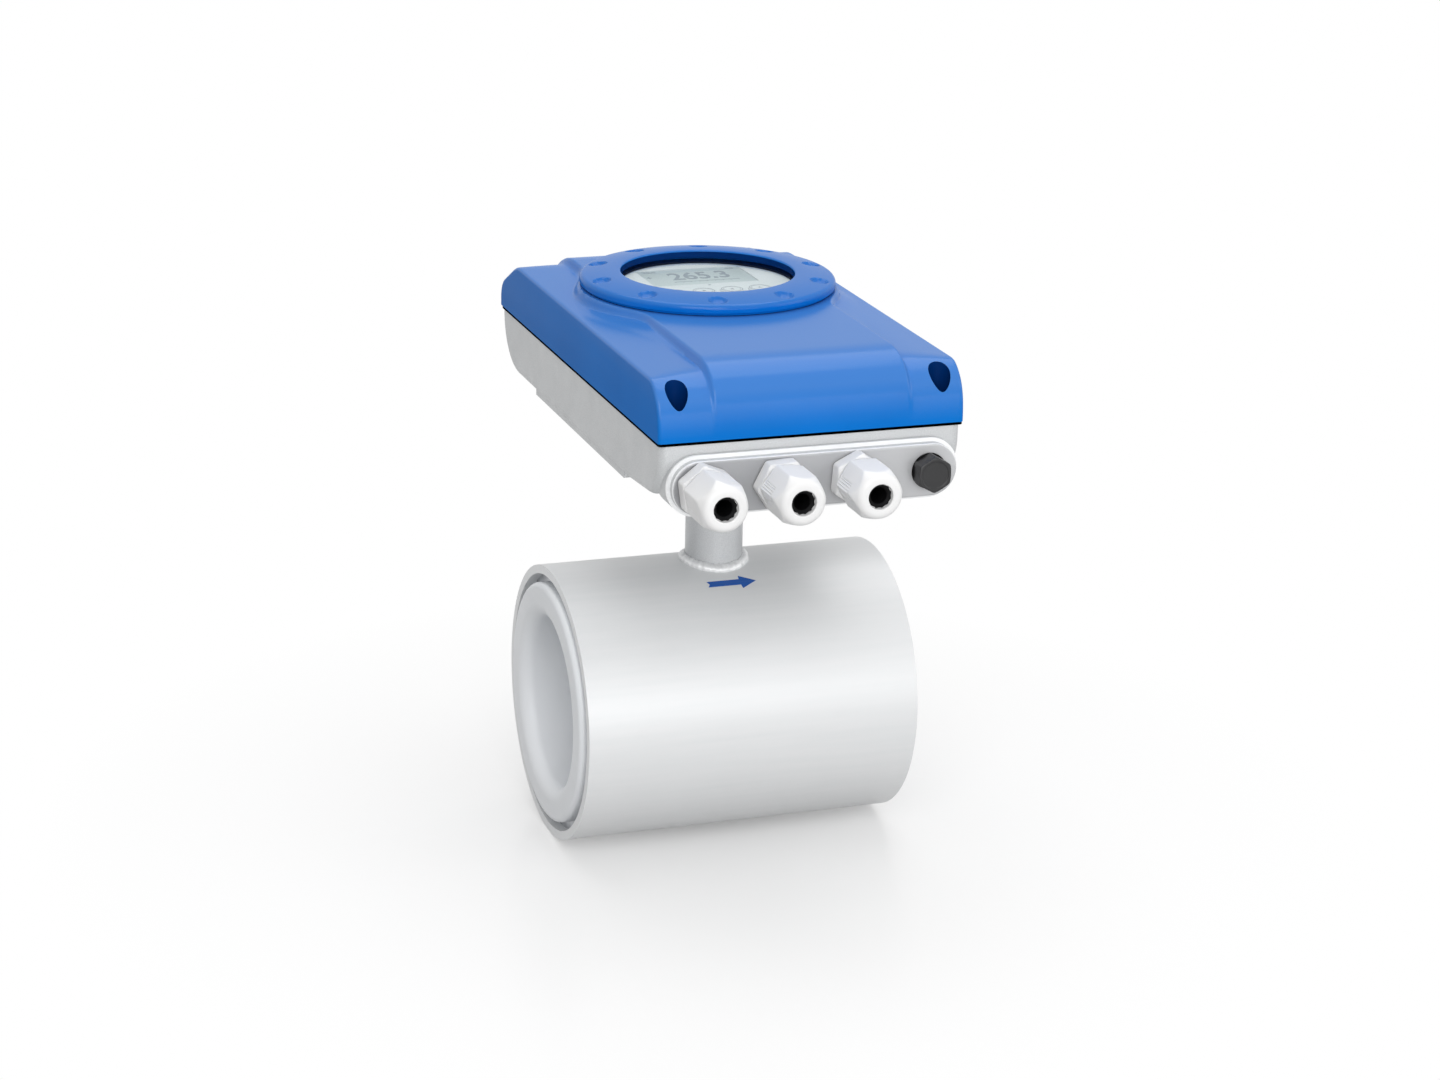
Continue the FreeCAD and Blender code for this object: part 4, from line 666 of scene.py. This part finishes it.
# %% The two side profiles
def side_profile(top):
    """Points (y, z) over the cover from front to back, the same number for any height of top."""
    nose = NOSE + (top - SHOULDER_TOP) * NOSE_GROWTH
    front_foot, front_top = (COVER_FRONT, 0), (COVER_FRONT, top)
    crown, tail = (COVER_BACK - TAIL_RUN, top), (COVER_BACK, TAIL_RISE)
    points = [Vector((COVER_FRONT, (top - nose) * k / FOOT_ROWS)) for k in range(FOOT_ROWS)]
    points += arc(front_foot, front_top, crown, nose, NOSE_ROWS)
    smooth_end = len(points) + NOSE_BEYOND
    back = arc(front_top, crown, tail, CROWN, CROWN_ROWS)
    gap = back[0] - points[-1]
    points += [points[-1] + gap * (k / ROOF_ROWS) for k in range(1, ROOF_ROWS)]
    for _ in range(NOSE_PASSES):
        points[NOSE_KEPT:smooth_end] = [(points[k - 1] + points[k] * 2 + points[k + 1]) / 4
                                        for k in range(NOSE_KEPT, smooth_end)]
    points += back
    end = arc(crown, tail, (COVER_BACK, 0), TAIL, TAIL_ROWS)
    gap = end[0] - points[-1]
    points += [points[-1] + gap * (k / FALL_ROWS) for k in range(1, FALL_ROWS)]
    points += end
    gap = Vector((COVER_BACK, 0)) - points[-1]
    return points + [points[-1] + gap * (k / BACK_ROWS) for k in range(1, BACK_ROWS + 1)]


shoulder_line = side_profile(SHOULDER_TOP)
middle_line = side_profile(MIDDLE_TOP)
print("rows", len(shoulder_line), len(middle_line))


# %% How far a point is up the raised middle
def from_outline(x, y, boss, front, back, front_web):
    """Distance from the plan outline of the raised middle, negative inside."""
    round_part = math.hypot(x, y - window_y) - boss
    aside = max(abs(x) - front, 0)
    front_part = math.hypot(aside, max(y - STRIP_START, 0)) if aside or y > STRIP_START else (
        abs(x) - front)
    back_part = abs(x) - back if y > window_y else math.hypot(max(abs(x) - back, 0), y - window_y)
    near = smooth_least(round_part, front_part, front_web)
    return smooth_least(near, back_part, BACK_WEB)


def middle_share(x, y):
    crest = from_outline(x, y, CREST_BOSS, CREST_FRONT, CREST_BACK, CREST_WEB)
    foot = from_outline(x, y, FOOT_BOSS, FOOT_FRONT, FOOT_BACK, FOOT_WEB)
    if crest <= 0:
        return 1.0
    if foot >= 0:
        return 0.0
    steep = ramp(1 - crest / WALL_RUN)
    gentle = ramp(-foot / (crest - foot))
    return WALL_SHARE * steep + (1 - WALL_SHARE) * gentle


def skin(row, x):
    """The place (y, z above the seat) of the skin over x, on one row of the grid."""
    shoulder, middle = shoulder_line[row], middle_line[row]
    slope = (MIDDLE_TOP - SIDE_TOP) / (COVER_HALF - SHOULDER_HALF) * ROOF_SHARE
    roof = SHOULDER_TOP + ROOF_LIFT - slope * max(abs(x) - SHOULDER_HALF, 0)
    low = Vector((shoulder.x, smooth_least(shoulder.y, roof, ROOF_BLEND)))
    return low.lerp(middle, middle_share(x, low.x))


# %% [markdown]
# The grid comes flat from an operator, and every vertex is then moved to its place on the skin. The
# outer columns roll over the side edge: they step outwards and inwards along the row's normal, like
# the points of a quarter circle. The two flat sides and the bottom are closed with one face each.

# %% The skin of the cover
ROWS = len(shoulder_line) - 1
ROLL_STEPS, SPAN_STEPS = 5, 236
COLUMNS = SPAN_STEPS + 2 * ROLL_STEPS

mesh = bmesh.new()
bmesh.ops.create_grid(mesh, x_segments=COLUMNS, y_segments=ROWS, size=0.5)
rows_of = {}
for vert in mesh.verts:
    column = round((vert.co.x + 0.5) * COLUMNS)
    row = round((vert.co.y + 0.5) * ROWS)
    rows_of[row, column] = vert
straight = COVER_HALF - SIDE_EDGE
rims = [skin(row, straight) for row in range(ROWS + 1)]
for (row, column), vert in rows_of.items():
    step = column - ROLL_STEPS
    if 0 <= step <= SPAN_STEPS:
        x = straight * (2 * step / SPAN_STEPS - 1)
        y, z = skin(row, x)
    else:
        side = -1 if step < 0 else 1
        angle = (-step if step < 0 else step - SPAN_STEPS) / ROLL_STEPS * math.pi / 2
        ahead = rims[min(row + 1, ROWS)] - rims[max(row - 1, 0)]
        inward = Vector((ahead.y, -ahead.x)).normalized() * SIDE_EDGE * (1 - math.cos(angle))
        x = side * (straight + SIDE_EDGE * math.sin(angle))
        y, z = rims[row] + inward
        z = max(z, 0)
    vert.co = (x, y, seat_z + z)
for column in (0, COLUMNS):
    rim = [rows_of[row, column] for row in range(ROWS + 1)]
    edges = [mesh.edges.get(pair) for pair in zip(rim, rim[1:])] + [mesh.edges.new((rim[-1], rim[0]))]
    bmesh.ops.contextual_create(mesh, geom=edges)
open_edges = [edge for edge in mesh.edges if edge.is_boundary]
bmesh.ops.contextual_create(mesh, geom=open_edges)
bmesh.ops.recalc_face_normals(mesh, faces=mesh.faces)
cover = piece("cover_casting", mesh, "meter", blue, ["cover"], sharp=50)

# %% [markdown]
# The openings are cut last: the threaded hole for the bezel, the hollow underneath, and in each
# corner a well for the screw head with a hole for its shank.


# %% Openings of the cover
def rod(mesh, radius, low, high, x, y, segments=64):
    place = Matrix.Translation((x, y, (low + high) / 2))
    bmesh.ops.create_cone(mesh, cap_ends=True, segments=segments, radius1=radius, radius2=radius,
                          depth=high - low, matrix=place)


SCREW_WELL, SCREW_HOLE = 6.0 * MM, 2.7 * MM
WELL_FLOOR = 8 * MM
COLLAR_R = 66.58 * MM
screw_low, screw_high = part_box("cover_screws")
SCREW_HEAD = 4.6 * MM
screw_x = screw_high.x - SCREW_HEAD
screw_y = (screw_low.y + SCREW_HEAD, screw_high.y - SCREW_HEAD)
wells = bmesh.new()
for side in (-1, 1):
    for y in screw_y:
        rod(wells, SCREW_WELL, seat_z + WELL_FLOOR, seat_z + 60 * MM, side * screw_x, y)
        rod(wells, SCREW_HOLE, seat_z - 5 * MM, seat_z + WELL_FLOOR + 1 * MM, side * screw_x, y, 32)
opening = bmesh.new()
rod(opening, COLLAR_R, seat_z - 5 * MM, seat_z + 60 * MM, 0, window_y, 192)
hollow = bmesh.new()
hollow_size = (2 * (COVER_HALF - 16 * MM), COVER_BACK - COVER_FRONT - 70 * MM, 30 * MM, 1)
bmesh.ops.create_cube(hollow, size=1, matrix=Matrix.Translation((0, 0, seat_z + 8 * MM))
                      @ Matrix.Diagonal(hollow_size))
carved(cover, wells, opening, hollow)
cover.data.set_sharp_from_angle(angle=math.radians(50))
cover.data.materials.append(painted_shade_blue)
# Painted shade: the faces inside the screw wells get the dark blue.
for face in cover.data.polygons:
    reach = min((Vector((side * screw_x, y)) - face.center.xy).length
                for side in (-1, 1) for y in screw_y)
    upright = abs(face.normal.z) < 0.1
    if reach < SCREW_WELL + 0.05 * MM and (upright or face.center.z < seat_z + 9 * MM):
        face.material_index = 1
print("cover", len(cover.data.polygons), "faces")

# %% [markdown]
# ### The bezel
# The bezel is turned from one ring. Its top falls very slightly from the window outwards, rounds
# over at the rim and ends in a short wall with an undercut, which leaves a dark line over the cover.
# Ten grip dimples are pressed into the top, and a threaded collar reaches down into the cover. The
# profile is spun with enough points across the top for the dimples, which are then pushed in by a
# smooth bowl formula. The wall of the window opening gets the dark blue, a painted shade.

# %% Bezel
BEZEL_R = (bezel_high.x - bezel_low.x) / 2
WINDOW_R = 49.2 * MM
CROWN_R, CROWN_POWER = 51.5 * MM, 1.8
BEZEL_WALL, LIP = 8.2 * MM, 4.4 * MM
CROWN_FALL, EDGE_ROUND, EDGE_START = 1.9 * MM, 3.0 * MM, math.radians(8)
WINDOW_STEPS, CROWN_STEPS, EDGE_STEPS = 7, 40, 8
DIMPLE_CIRCLE, DIMPLE_R, DIMPLE_DEPTH, DIMPLES = 64.0 * MM, 5.2 * MM, 2.8 * MM, 10
BOWL = 0.6
FIRST_DIMPLE = math.radians(4)
THREAD_PITCH, THREAD_DEPTH = 2 * MM, 0.6 * MM
pocket_r = pane_r + 0.5 * MM
collar_r = COLLAR_R - 0.08 * MM
wall_low = rim_z - BEZEL_WALL

profile = [(WINDOW_R, rim_z - LIP)]
profile += arc((WINDOW_R, rim_z - LIP), (WINDOW_R, rim_z), (CROWN_R, rim_z), 0.9 * MM,
               WINDOW_STEPS)
for k in range(CROWN_STEPS + 1):
    share = k / CROWN_STEPS
    profile.append((CROWN_R + (BEZEL_R - EDGE_ROUND - CROWN_R) * share,
                    rim_z - CROWN_FALL * share ** CROWN_POWER))
edge_z = rim_z - CROWN_FALL - EDGE_ROUND * math.cos(EDGE_START)
for k in range(1, EDGE_STEPS + 1):
    angle = EDGE_START + (math.pi / 2 - EDGE_START) * k / EDGE_STEPS
    profile.append((BEZEL_R - EDGE_ROUND * (1 - math.sin(angle)), edge_z + EDGE_ROUND * math.cos(angle)))
profile += [(BEZEL_R - 0.1 * MM, wall_low + 1.5 * MM), (BEZEL_R - 1.5 * MM, wall_low + 1 * MM),
            (BEZEL_R - 1.7 * MM, wall_low), (collar_r, wall_low)]
thread = int((wall_low - bezel_low.z) / THREAD_PITCH - 0.6)
for k in range(thread):
    z = wall_low - THREAD_PITCH * (k + 0.8)
    profile += [(collar_r, z), (collar_r - THREAD_DEPTH, z - THREAD_PITCH * 0.3),
                (collar_r, z - THREAD_PITCH * 0.6)]
profile += [(collar_r, bezel_low.z), (pocket_r, bezel_low.z), (pocket_r, rim_z - LIP)]
mesh = spun(profile, segments=480)
centres = [Vector((math.cos(FIRST_DIMPLE + 2 * math.pi * k / DIMPLES),
                   math.sin(FIRST_DIMPLE + 2 * math.pi * k / DIMPLES))) * DIMPLE_CIRCLE
           for k in range(DIMPLES)]
for vert in mesh.verts:
    if vert.co.z < wall_low + 1 * MM:
        continue
    for middle in centres:
        off = (vert.co.xy - middle).length / DIMPLE_R
        if off < 1:
            vert.co.z -= DIMPLE_DEPTH * (1 - off * off) ** BOWL
mesh.transform(Matrix.Translation((0, window_y, 0)))
bezel = piece("bezel_casting", mesh, "bezel", bezel_blue, ["bezel_ring"], sharp=40)
bezel.data.materials.append(painted_shade_blue)
# Painted shade: the wall of the window opening gets the dark blue.
for face in bezel.data.polygons:
    reach = math.hypot(face.center.x, face.center.y - window_y)
    if reach < WINDOW_R + 0.1 * MM and face.center.z < rim_z - 0.9 * MM:
        face.material_index = 1

# %% [markdown]
# ### The gasket's edge
# The flat gasket is squeezed when the cover is screwed down, and its edge bulges out of the joint
# all round. That edge is the dark line between the blue and the grey. It is a frame: a flat face with
# rounded corners, inset once for its width and extruded for its height.

# %% Gasket edge
JOINT_OUT, JOINT_WIDE, JOINT_LOW, JOINT_HIGH = 0.7 * MM, 0.68 * MM, 0.75 * MM, 0.02 * MM
edge_x, back_y, front_y = base_high.x + JOINT_OUT, base_high.y + JOINT_OUT, COVER_FRONT + 0.3 * MM
corners = [(edge_x, front_y, 2 * MM), (edge_x, back_y, 4 * MM), (-edge_x, back_y, 4 * MM),
           (-edge_x, front_y, 2 * MM)]
mesh = bmesh.new()
frame_face = mesh.faces.new([mesh.verts.new((p.x, p.y, base_high.z - JOINT_LOW))
                             for p in rounded(corners, 6)])
bmesh.ops.inset_region(mesh, faces=[frame_face], thickness=JOINT_WIDE, use_boundary=True,
                        use_even_offset=True)
bmesh.ops.delete(mesh, geom=[frame_face], context="FACES_ONLY")
thickened(mesh, JOINT_LOW + seat_z - base_high.z - JOINT_HIGH)
piece("gasket_edge", mesh, "meter", gasket_black)

# %% [markdown]
# ### The window pane
# The pane lies under the lip of the bezel. It is one spun disc with a small chamfer on its ground
# edge. Under it lies a black ring that seals it against the display, and it hides the pane's edge
# from the front.

# %% Window pane and its seal
panel_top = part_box("display_panel")[1].z
pane_top, pane_low = rim_z - LIP - 0.02 * MM, rim_z - LIP - 2.2 * MM
mesh = spun([(0, pane_low), (pane_r - 0.4 * MM, pane_low), (pane_r, pane_low + 0.4 * MM),
             (pane_r, pane_top - 0.4 * MM), (pane_r - 0.4 * MM, pane_top), (0, pane_top)],
            (0, window_y, 0), segments=192, closed=False)
piece("window_pane", mesh, "window", glass_clear, ["window_glass"])

mesh = spun(rounded([(48.8 * MM, panel_top + 0.1 * MM), (56 * MM, panel_top + 0.1 * MM),
                     (56 * MM, pane_low - 0.03 * MM), (48.8 * MM, pane_low - 0.03 * MM, 0.2 * MM)], 3),
            (0, window_y, 0), segments=192)
piece("window_seal", mesh, "window", seal_black, ["glass_gasket", "glass_retainer"])

# %% [markdown]
# ### The display
# The liquid crystal module shows a plain reading. Text starts as a curve in Blender, is made a little
# bolder, becomes a mesh, and is then scaled to the width and height of the characters, because a
# display's characters are narrower and taller than those of the built-in font. Everything printed
# is a few hundredths of a millimetre thick, so it lies on the surface and never flickers with it.


# %% Helpers for printed marks
def lettered(text, left, right_end, low, high, z, thick, bold=0.02):
    """A flat text as a bmesh that fills a box."""
    curve = bpy.data.curves.new("text", "FONT")
    curve.body, curve.extrude, curve.offset = text, 0.5, bold
    holder = placed("text", curve)
    bpy.context.view_layer.update()
    data = bpy.data.meshes.new_from_object(holder)
    mesh = bmesh.new()
    mesh.from_mesh(data)
    bpy.data.objects.remove(holder)
    spans = [(min(v.co[k] for v in mesh.verts), max(v.co[k] for v in mesh.verts)) for k in range(3)]
    for vert in mesh.verts:
        for k, (start, end) in enumerate(((left, right_end), (low, high), (z, z + thick))):
            share = (vert.co[k] - spans[k][0]) / (spans[k][1] - spans[k][0])
            vert.co[k] = start + share * (end - start)
    bmesh.ops.remove_doubles(mesh, verts=mesh.verts, dist=1e-7)
    return mesh


def plate(x0, x1, y0, y1, z0, z1):
    mesh = bmesh.new()
    place = Matrix.Translation(((x0 + x1) / 2, (y0 + y1) / 2, (z0 + z1) / 2))
    bmesh.ops.create_cube(mesh, size=1, matrix=place @ Matrix.Diagonal((x1 - x0, y1 - y0, z1 - z0, 1)))
    return mesh


def joined(meshes):
    whole = bmesh.new()
    for mesh in meshes:
        data = as_data("part", mesh)
        whole.from_mesh(data)
        bpy.data.meshes.remove(data)
    return whole


# %% Display reading
ink = moulded("display_ink", paint(104, 120, 134), paint(112, 128, 142), 0.5, 60, 0.01)
band_ink = moulded("display_band", paint(156, 172, 180), paint(160, 176, 184), 0.5, 60, 0.01)
lcd_low, lcd_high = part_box("lcd_module")
lcd_z = lcd_high.z
mid_y = (lcd_low.y + lcd_high.y) / 2
PRINT, TOP_ROW = 0.06 * MM, (13.6, 16.6)


def printed(text, left, right_end, low, high, lift=0):
    """A text in a box in millimetres, measured from the middle of the display."""
    return lettered(text, left * MM, right_end * MM, mid_y + low * MM, mid_y + high * MM, lcd_z + lift,
                    PRINT)


marks = [printed("265.3", -15.5, 19.5, -5, 11), printed("+", -29, -26, 1, 5),
         printed("20.0", -28, -20, *TOP_ROW, PRINT), printed("60", 22, 27, *TOP_ROW, PRINT),
         plate(-16 * MM, 22 * MM, mid_y - 9.6 * MM, mid_y - 9 * MM, lcd_z, lcd_z + PRINT)]
for k in range(9):
    x = (-16 + 4.75 * k) * MM
    marks.append(plate(x - 0.2 * MM, x + 0.2 * MM, mid_y - 10.8 * MM, mid_y - 9 * MM, lcd_z,
                       lcd_z + PRINT))
piece("display_reading", joined(marks), "meter", ink)
top_row = plate(-30.6 * MM, 30.6 * MM, mid_y + 12.6 * MM, mid_y + 18.2 * MM, lcd_z, lcd_z + 0.05 * MM)
piece("display_top_row", top_row, "meter", band_ink)
lamp_dot = spun([(0, panel_top - 0.3 * MM), (0.9 * MM, panel_top - 0.3 * MM), (0.9 * MM, panel_top),
                 (0.5 * MM, panel_top + 0.12 * MM), (0, panel_top + 0.15 * MM)],
                (0.3 * MM, window_y - 3 * MM, 0), segments=24, closed=False)
piece("status_light", lamp_dot, "meter", ink)

# %% [markdown]
# Each touch key has two printed rings and a small arrow head that points back, down, up or on. The
# prints ride on the keys, so they go down with them.

# %% Key prints
key_ink = moulded("key_ink", paint(112, 120, 134), paint(120, 128, 142), 0.5, 60, 0.01)
for k, heading in enumerate((180, -90, 90, 0)):
    low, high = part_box("key_%d" % (k + 1))
    x, y, z = (low.x + high.x) / 2, (low.y + high.y) / 2, high.z
    prints = [spun([(r, z - 0.02 * MM), (r + w, z - 0.02 * MM), (r + w, z + 0.05 * MM),
                    (r, z + 0.05 * MM)], (x, y, 0), segments=64)
              for r, w in ((5.75 * MM, 0.4 * MM), (4.75 * MM, 0.25 * MM))]
    head = bmesh.new()
    turn = Matrix.Translation((x, y, z + 0.02 * MM)) @ Matrix.Rotation(math.radians(heading), 4, "Z")
    bmesh.ops.create_cone(head, cap_ends=True, segments=3, radius1=1.5 * MM, radius2=1.5 * MM,
                          depth=0.06 * MM, matrix=turn)
    prints.append(head)
    piece("key_%d_print" % (k + 1), joined(prints), "key_%d_button" % (k + 1), key_ink)

# %% [markdown]
# ### Cable glands
# A gland has a hexagonal body with a groove, and a cap nut that is a hexagon below and a round dome
# above. Both are spun with many segments, and then each point is drawn in to the hexagon's side where
# the round form stands out beyond it. That gives the curved line where a flat runs into a dome, which
# is what a real moulding has. The nut has fine grip ribs over two opposite corners. All of it is made
# upright at the origin, and then laid along the gland's axis.


# %% A spun form with six flats
pad_y = base_low.y
INSIDE, UNTOUCHED = 0.38, 0.42


def with_flats(mesh, flats, turn, soft, ribs=None):
    """Draws points in to a hexagon. ribs = (pitch, depth, half width, low, high) on two corners."""
    for vert in mesh.verts:
        reach = vert.co.xy.length
        if reach < flats * INSIDE:
            continue
        angle = math.atan2(vert.co.y, vert.co.x) - turn
        aside = (angle % (math.pi / 3)) - math.pi / 6
        corner = flats / 2 / math.cos(math.pi / 6) - soft * 0.2
        side = smooth_least(flats / 2 / math.cos(aside), corner, soft)
        new = smooth_least(reach, side, soft) if reach > flats * UNTOUCHED else reach
        if ribs:
            pitch, depth, half, low, high = ribs
            from_corner = (angle + math.pi / 2) % math.pi - math.pi / 2
            along = from_corner * flats / 2
            share = ramp((half - abs(along)) / (0.6 * MM)) * ramp((vert.co.z - low) / (0.8 * MM)) * ramp(
                (high - vert.co.z) / (3 * MM))
            new -= depth * share * (0.5 - 0.5 * math.cos(2 * math.pi * along / pitch))
        vert.co.xy *= new / reach
    return mesh


def filled(points, step, closed=True):
    """Adds points along the long runs of a profile."""
    result = []
    for start, end in zip(points, points[1:] + (points[:1] if closed else [])):
        start, end = Vector(start), Vector(end)
        count = max(1, round((end - start).length / step))
        result += [start.lerp(end, k / count) for k in range(count)]
    return result


def laid(mesh, entry):
    """Turns an upright form so that its top looks to the front, and puts it at an entry's pad face."""
    place = Matrix.Translation((entry.x, pad_y, entry.z))
    mesh.transform(place @ Matrix.Rotation(math.pi / 2, 4, "X"))
    return mesh


# %% Gland bodies
glands = [centre("gland_dome_%d" % k) for k in (1, 2, 3)]
BODY_FLATS, BODY_TOP, GROOVE_TOP, SPIGOT_TOP, SOFT = 26, 9.5, 11.1, 24.1, 0.5 * MM
BODY_TURN = [math.radians(a) for a in (38, 3, 26)]
DOME_TURN = [math.radians(a) for a in (44, 174, 180)]
bodies = []
for place, turn in zip(glands, BODY_TURN):
    profile = mm((7, -12), (9.6, -12), (10, -11.5), (10, 1))
    head = rounded(mm((10, 1), (14.95, 1, 0.5), (14.95, 8.2, 0.4), (13, BODY_TOP, 0.3),
                      (11.3, BODY_TOP), (11.3, GROOVE_TOP - 0.05)), 4)
    profile += [(p.x, p.y) for p in head[1:]]
    z = GROOVE_TOP - 0.05
    while z < SPIGOT_TOP - 2:
        profile += mm((9.5, z), (10.2, z + 0.5), (10.2, z + 0.8), (9.5, z + 1.3))
        z += 1.5
    profile += mm((9.5, SPIGOT_TOP), (7, SPIGOT_TOP))
    mesh = with_flats(spun(profile, segments=216), BODY_FLATS * MM, turn, SOFT)
    bodies.append(laid(mesh, place))
piece("gland_bodies_moulded", joined(bodies), "meter", gland_white, ["gland_bodies"], sharp=40)

# %% Cap nuts
DOME_FLATS, DOME_LENGTH, DOME_HEX = 25.4, 26.5, 18.5
DOME_TOP = GROOVE_TOP + DOME_LENGTH
RIBS = [value * MM for value in (1.3, 0.75, 4.8, GROOVE_TOP + 0.8, GROOVE_TOP + 16)]
for k, (place, turn) in enumerate(zip(glands, DOME_TURN)):
    profile = filled(rounded(mm((10.25, GROOVE_TOP), (14.9, GROOVE_TOP, 0.6),
                                (14.9, GROOVE_TOP + DOME_HEX, 5), (11.4, DOME_TOP, 3.6),
                                (6.7, DOME_TOP, 0.7), (6.7, DOME_TOP - 4),
                                (10.25, SPIGOT_TOP + 0.5)), 8), 0.9 * MM)
    mesh = with_flats(spun(profile, segments=324), DOME_FLATS * MM, turn, SOFT, RIBS)
    piece("gland_%d_nut_moulded" % (k + 1), laid(mesh, place),
          "gland_%d_nut" % (k + 1), gland_white, ["gland_dome_%d" % (k + 1)], sharp=40)

# %% [markdown]
# Inside the nut sits a rubber seal, and round it are the tips of the clamping claws. Seen from the
# front, the claws are a ring of round lobes between the white nut and the black seal. The seal's rim
# is a spun ring whose radius follows the lobes.

# %% Seals and claws
LOBES, LOBE_DEPTH = 12, 0.4 * MM
for k, place in enumerate(glands):
    ring = spun(rounded(mm((5.4, DOME_TOP - 5), (6.62, DOME_TOP - 5), (6.62, DOME_TOP - 2.7, 0.2),
                           (5.4, DOME_TOP - 3, 0.2)), 3), segments=144)
    piece("gland_%d_claws" % (k + 1), laid(ring, place),
          "gland_%d_seal" % (k + 1), gland_white)
    seal = spun(mm((4.5, 16.2), (6.5, 16.2), (6.5, DOME_TOP - 5.4), (5.3, DOME_TOP - 5.1),
                   (5.3, DOME_TOP - 3.2), (6.3, DOME_TOP - 2.66), (6.3, DOME_TOP - 2.4),
                   (5.6, DOME_TOP - 2.3), (4.5, DOME_TOP - 3.4)), segments=288)
    for vert in seal.verts:
        reach = vert.co.xy.length
        if vert.co.z > (DOME_TOP - 2.7) * MM and reach > 6 * MM:
            angle = math.atan2(vert.co.y, vert.co.x)
            vert.co.xy *= (6.6 * MM - LOBE_DEPTH * abs(math.cos(LOBES / 2 * angle))) / reach
    piece("gland_%d_seal_ring" % (k + 1), laid(seal, place),
          "gland_%d_seal" % (k + 1), seal_black, ["gland_seal_%d" % (k + 1)])

# %% [markdown]
# The fourth entry is closed with a black plug. Its head is a hexagon with a chamfer and a shallow
# dished face, and its thread runs into the casting.

# %% Blanking plug
plug = centre("blanking_plug")
head = filled(rounded(mm((8, 1), (10.3, 1, 0.5), (10.3, 9.6, 1.6), (7.6, 9.6, 0.3), (7.2, 9.2, 0.2),
                         (0, 9.2)), 6), 1 * MM, closed=False)
profile = mm((0, -12), (7.6, -12), (8, -11.4), (8, 1))
profile += [(p.x, p.y) for p in head if p.x > 1e-5 and p.y > 1.001 * MM] + mm((0, 9.2))
mesh = with_flats(spun(profile, segments=216, closed=False), 17.6 * MM, math.radians(30), SOFT)
piece("plug_moulded", laid(mesh, plug), "meter", plug_black, ["blanking_plug"],
      sharp=40)

# %% [markdown]
# ### The weld and the arrow
# The neck is welded to the shell by hand. The bead is a ring spun round the neck, and then every
# point is raised to the shell's curve, which makes a saddle. Three waves of different lengths swell
# the bead, as the drops of a weld do.

# %% Weld bead
BEAD_R, BEAD_OUT, BEAD_SIDES = 2.7 * MM, 1.1 * MM, 16
SWELLS = ((0.035, 37, 0), (0.04, 11, 1), (0.03, 23, 0))
ring_r = neck_r + BEAD_OUT
round_angles = [2 * math.pi * k / BEAD_SIDES for k in range(BEAD_SIDES)]
mesh = spun([(ring_r + BEAD_R * math.cos(a), BEAD_R * math.sin(a)) for a in round_angles], segments=240)
for vert in mesh.verts:
    angle = math.atan2(vert.co.y, vert.co.x)
    middle = Vector((math.cos(angle), math.sin(angle), 0)) * ring_r
    off = vert.co - middle
    swell = 1 + sum(size * math.sin(waves * angle + start) for size, waves, start in SWELLS)
    vert.co = middle + off * swell
    vert.co.z += math.sqrt(shell_r ** 2 - min(abs(vert.co.y), 0.03) ** 2) + 0.7 * MM
bead_finish = blasted_steel("weld_bead", paint(222, 223, 224), paint(240, 241, 242), 0.2, 0.3,
                            (300, 300, 300))
piece("weld_bead", mesh, "meter", bead_finish, ["neck_weld"], sharp=60)

# %% [markdown]
# The arrow on the shell tells which way the liquid has to flow. It is cut from thin blue film. Its
# outline is drawn flat, cut into narrow strips, and then wrapped round the pipe, so that it bends
# with it.

# %% Flow arrow
ARROW_UP = math.radians(68)
STRIP, FILM = 0.55 * MM, 0.1 * MM
film = moulded("arrow_film", paint(8, 80, 166), paint(14, 88, 174), 0.4, 80, 0.01)
outline = [(-13.6, 2.3), (-12.3, 0), (-13.6, -2.3), (5.8, -2.3), (6.2, -5.3), (15.4, 0), (6.2, 5.3),
           (5.8, 2.3)]
mesh = bmesh.new()
mesh.faces.new([mesh.verts.new((x * MM, y * MM, 0)) for x, y in outline])
for k in range(-9, 10):
    bmesh.ops.bisect_plane(mesh, geom=mesh.verts[:] + mesh.edges[:] + mesh.faces[:],
                           plane_co=(0, STRIP * k, 0), plane_no=(0, 1, 0))
thickened(mesh, FILM)
for vert in mesh.verts:
    angle = ARROW_UP + vert.co.y / shell_r
    reach = shell_r + vert.co.z
    vert.co = (vert.co.x, -reach * math.cos(angle), reach * math.sin(angle))
piece("flow_arrow", mesh, "meter", film)
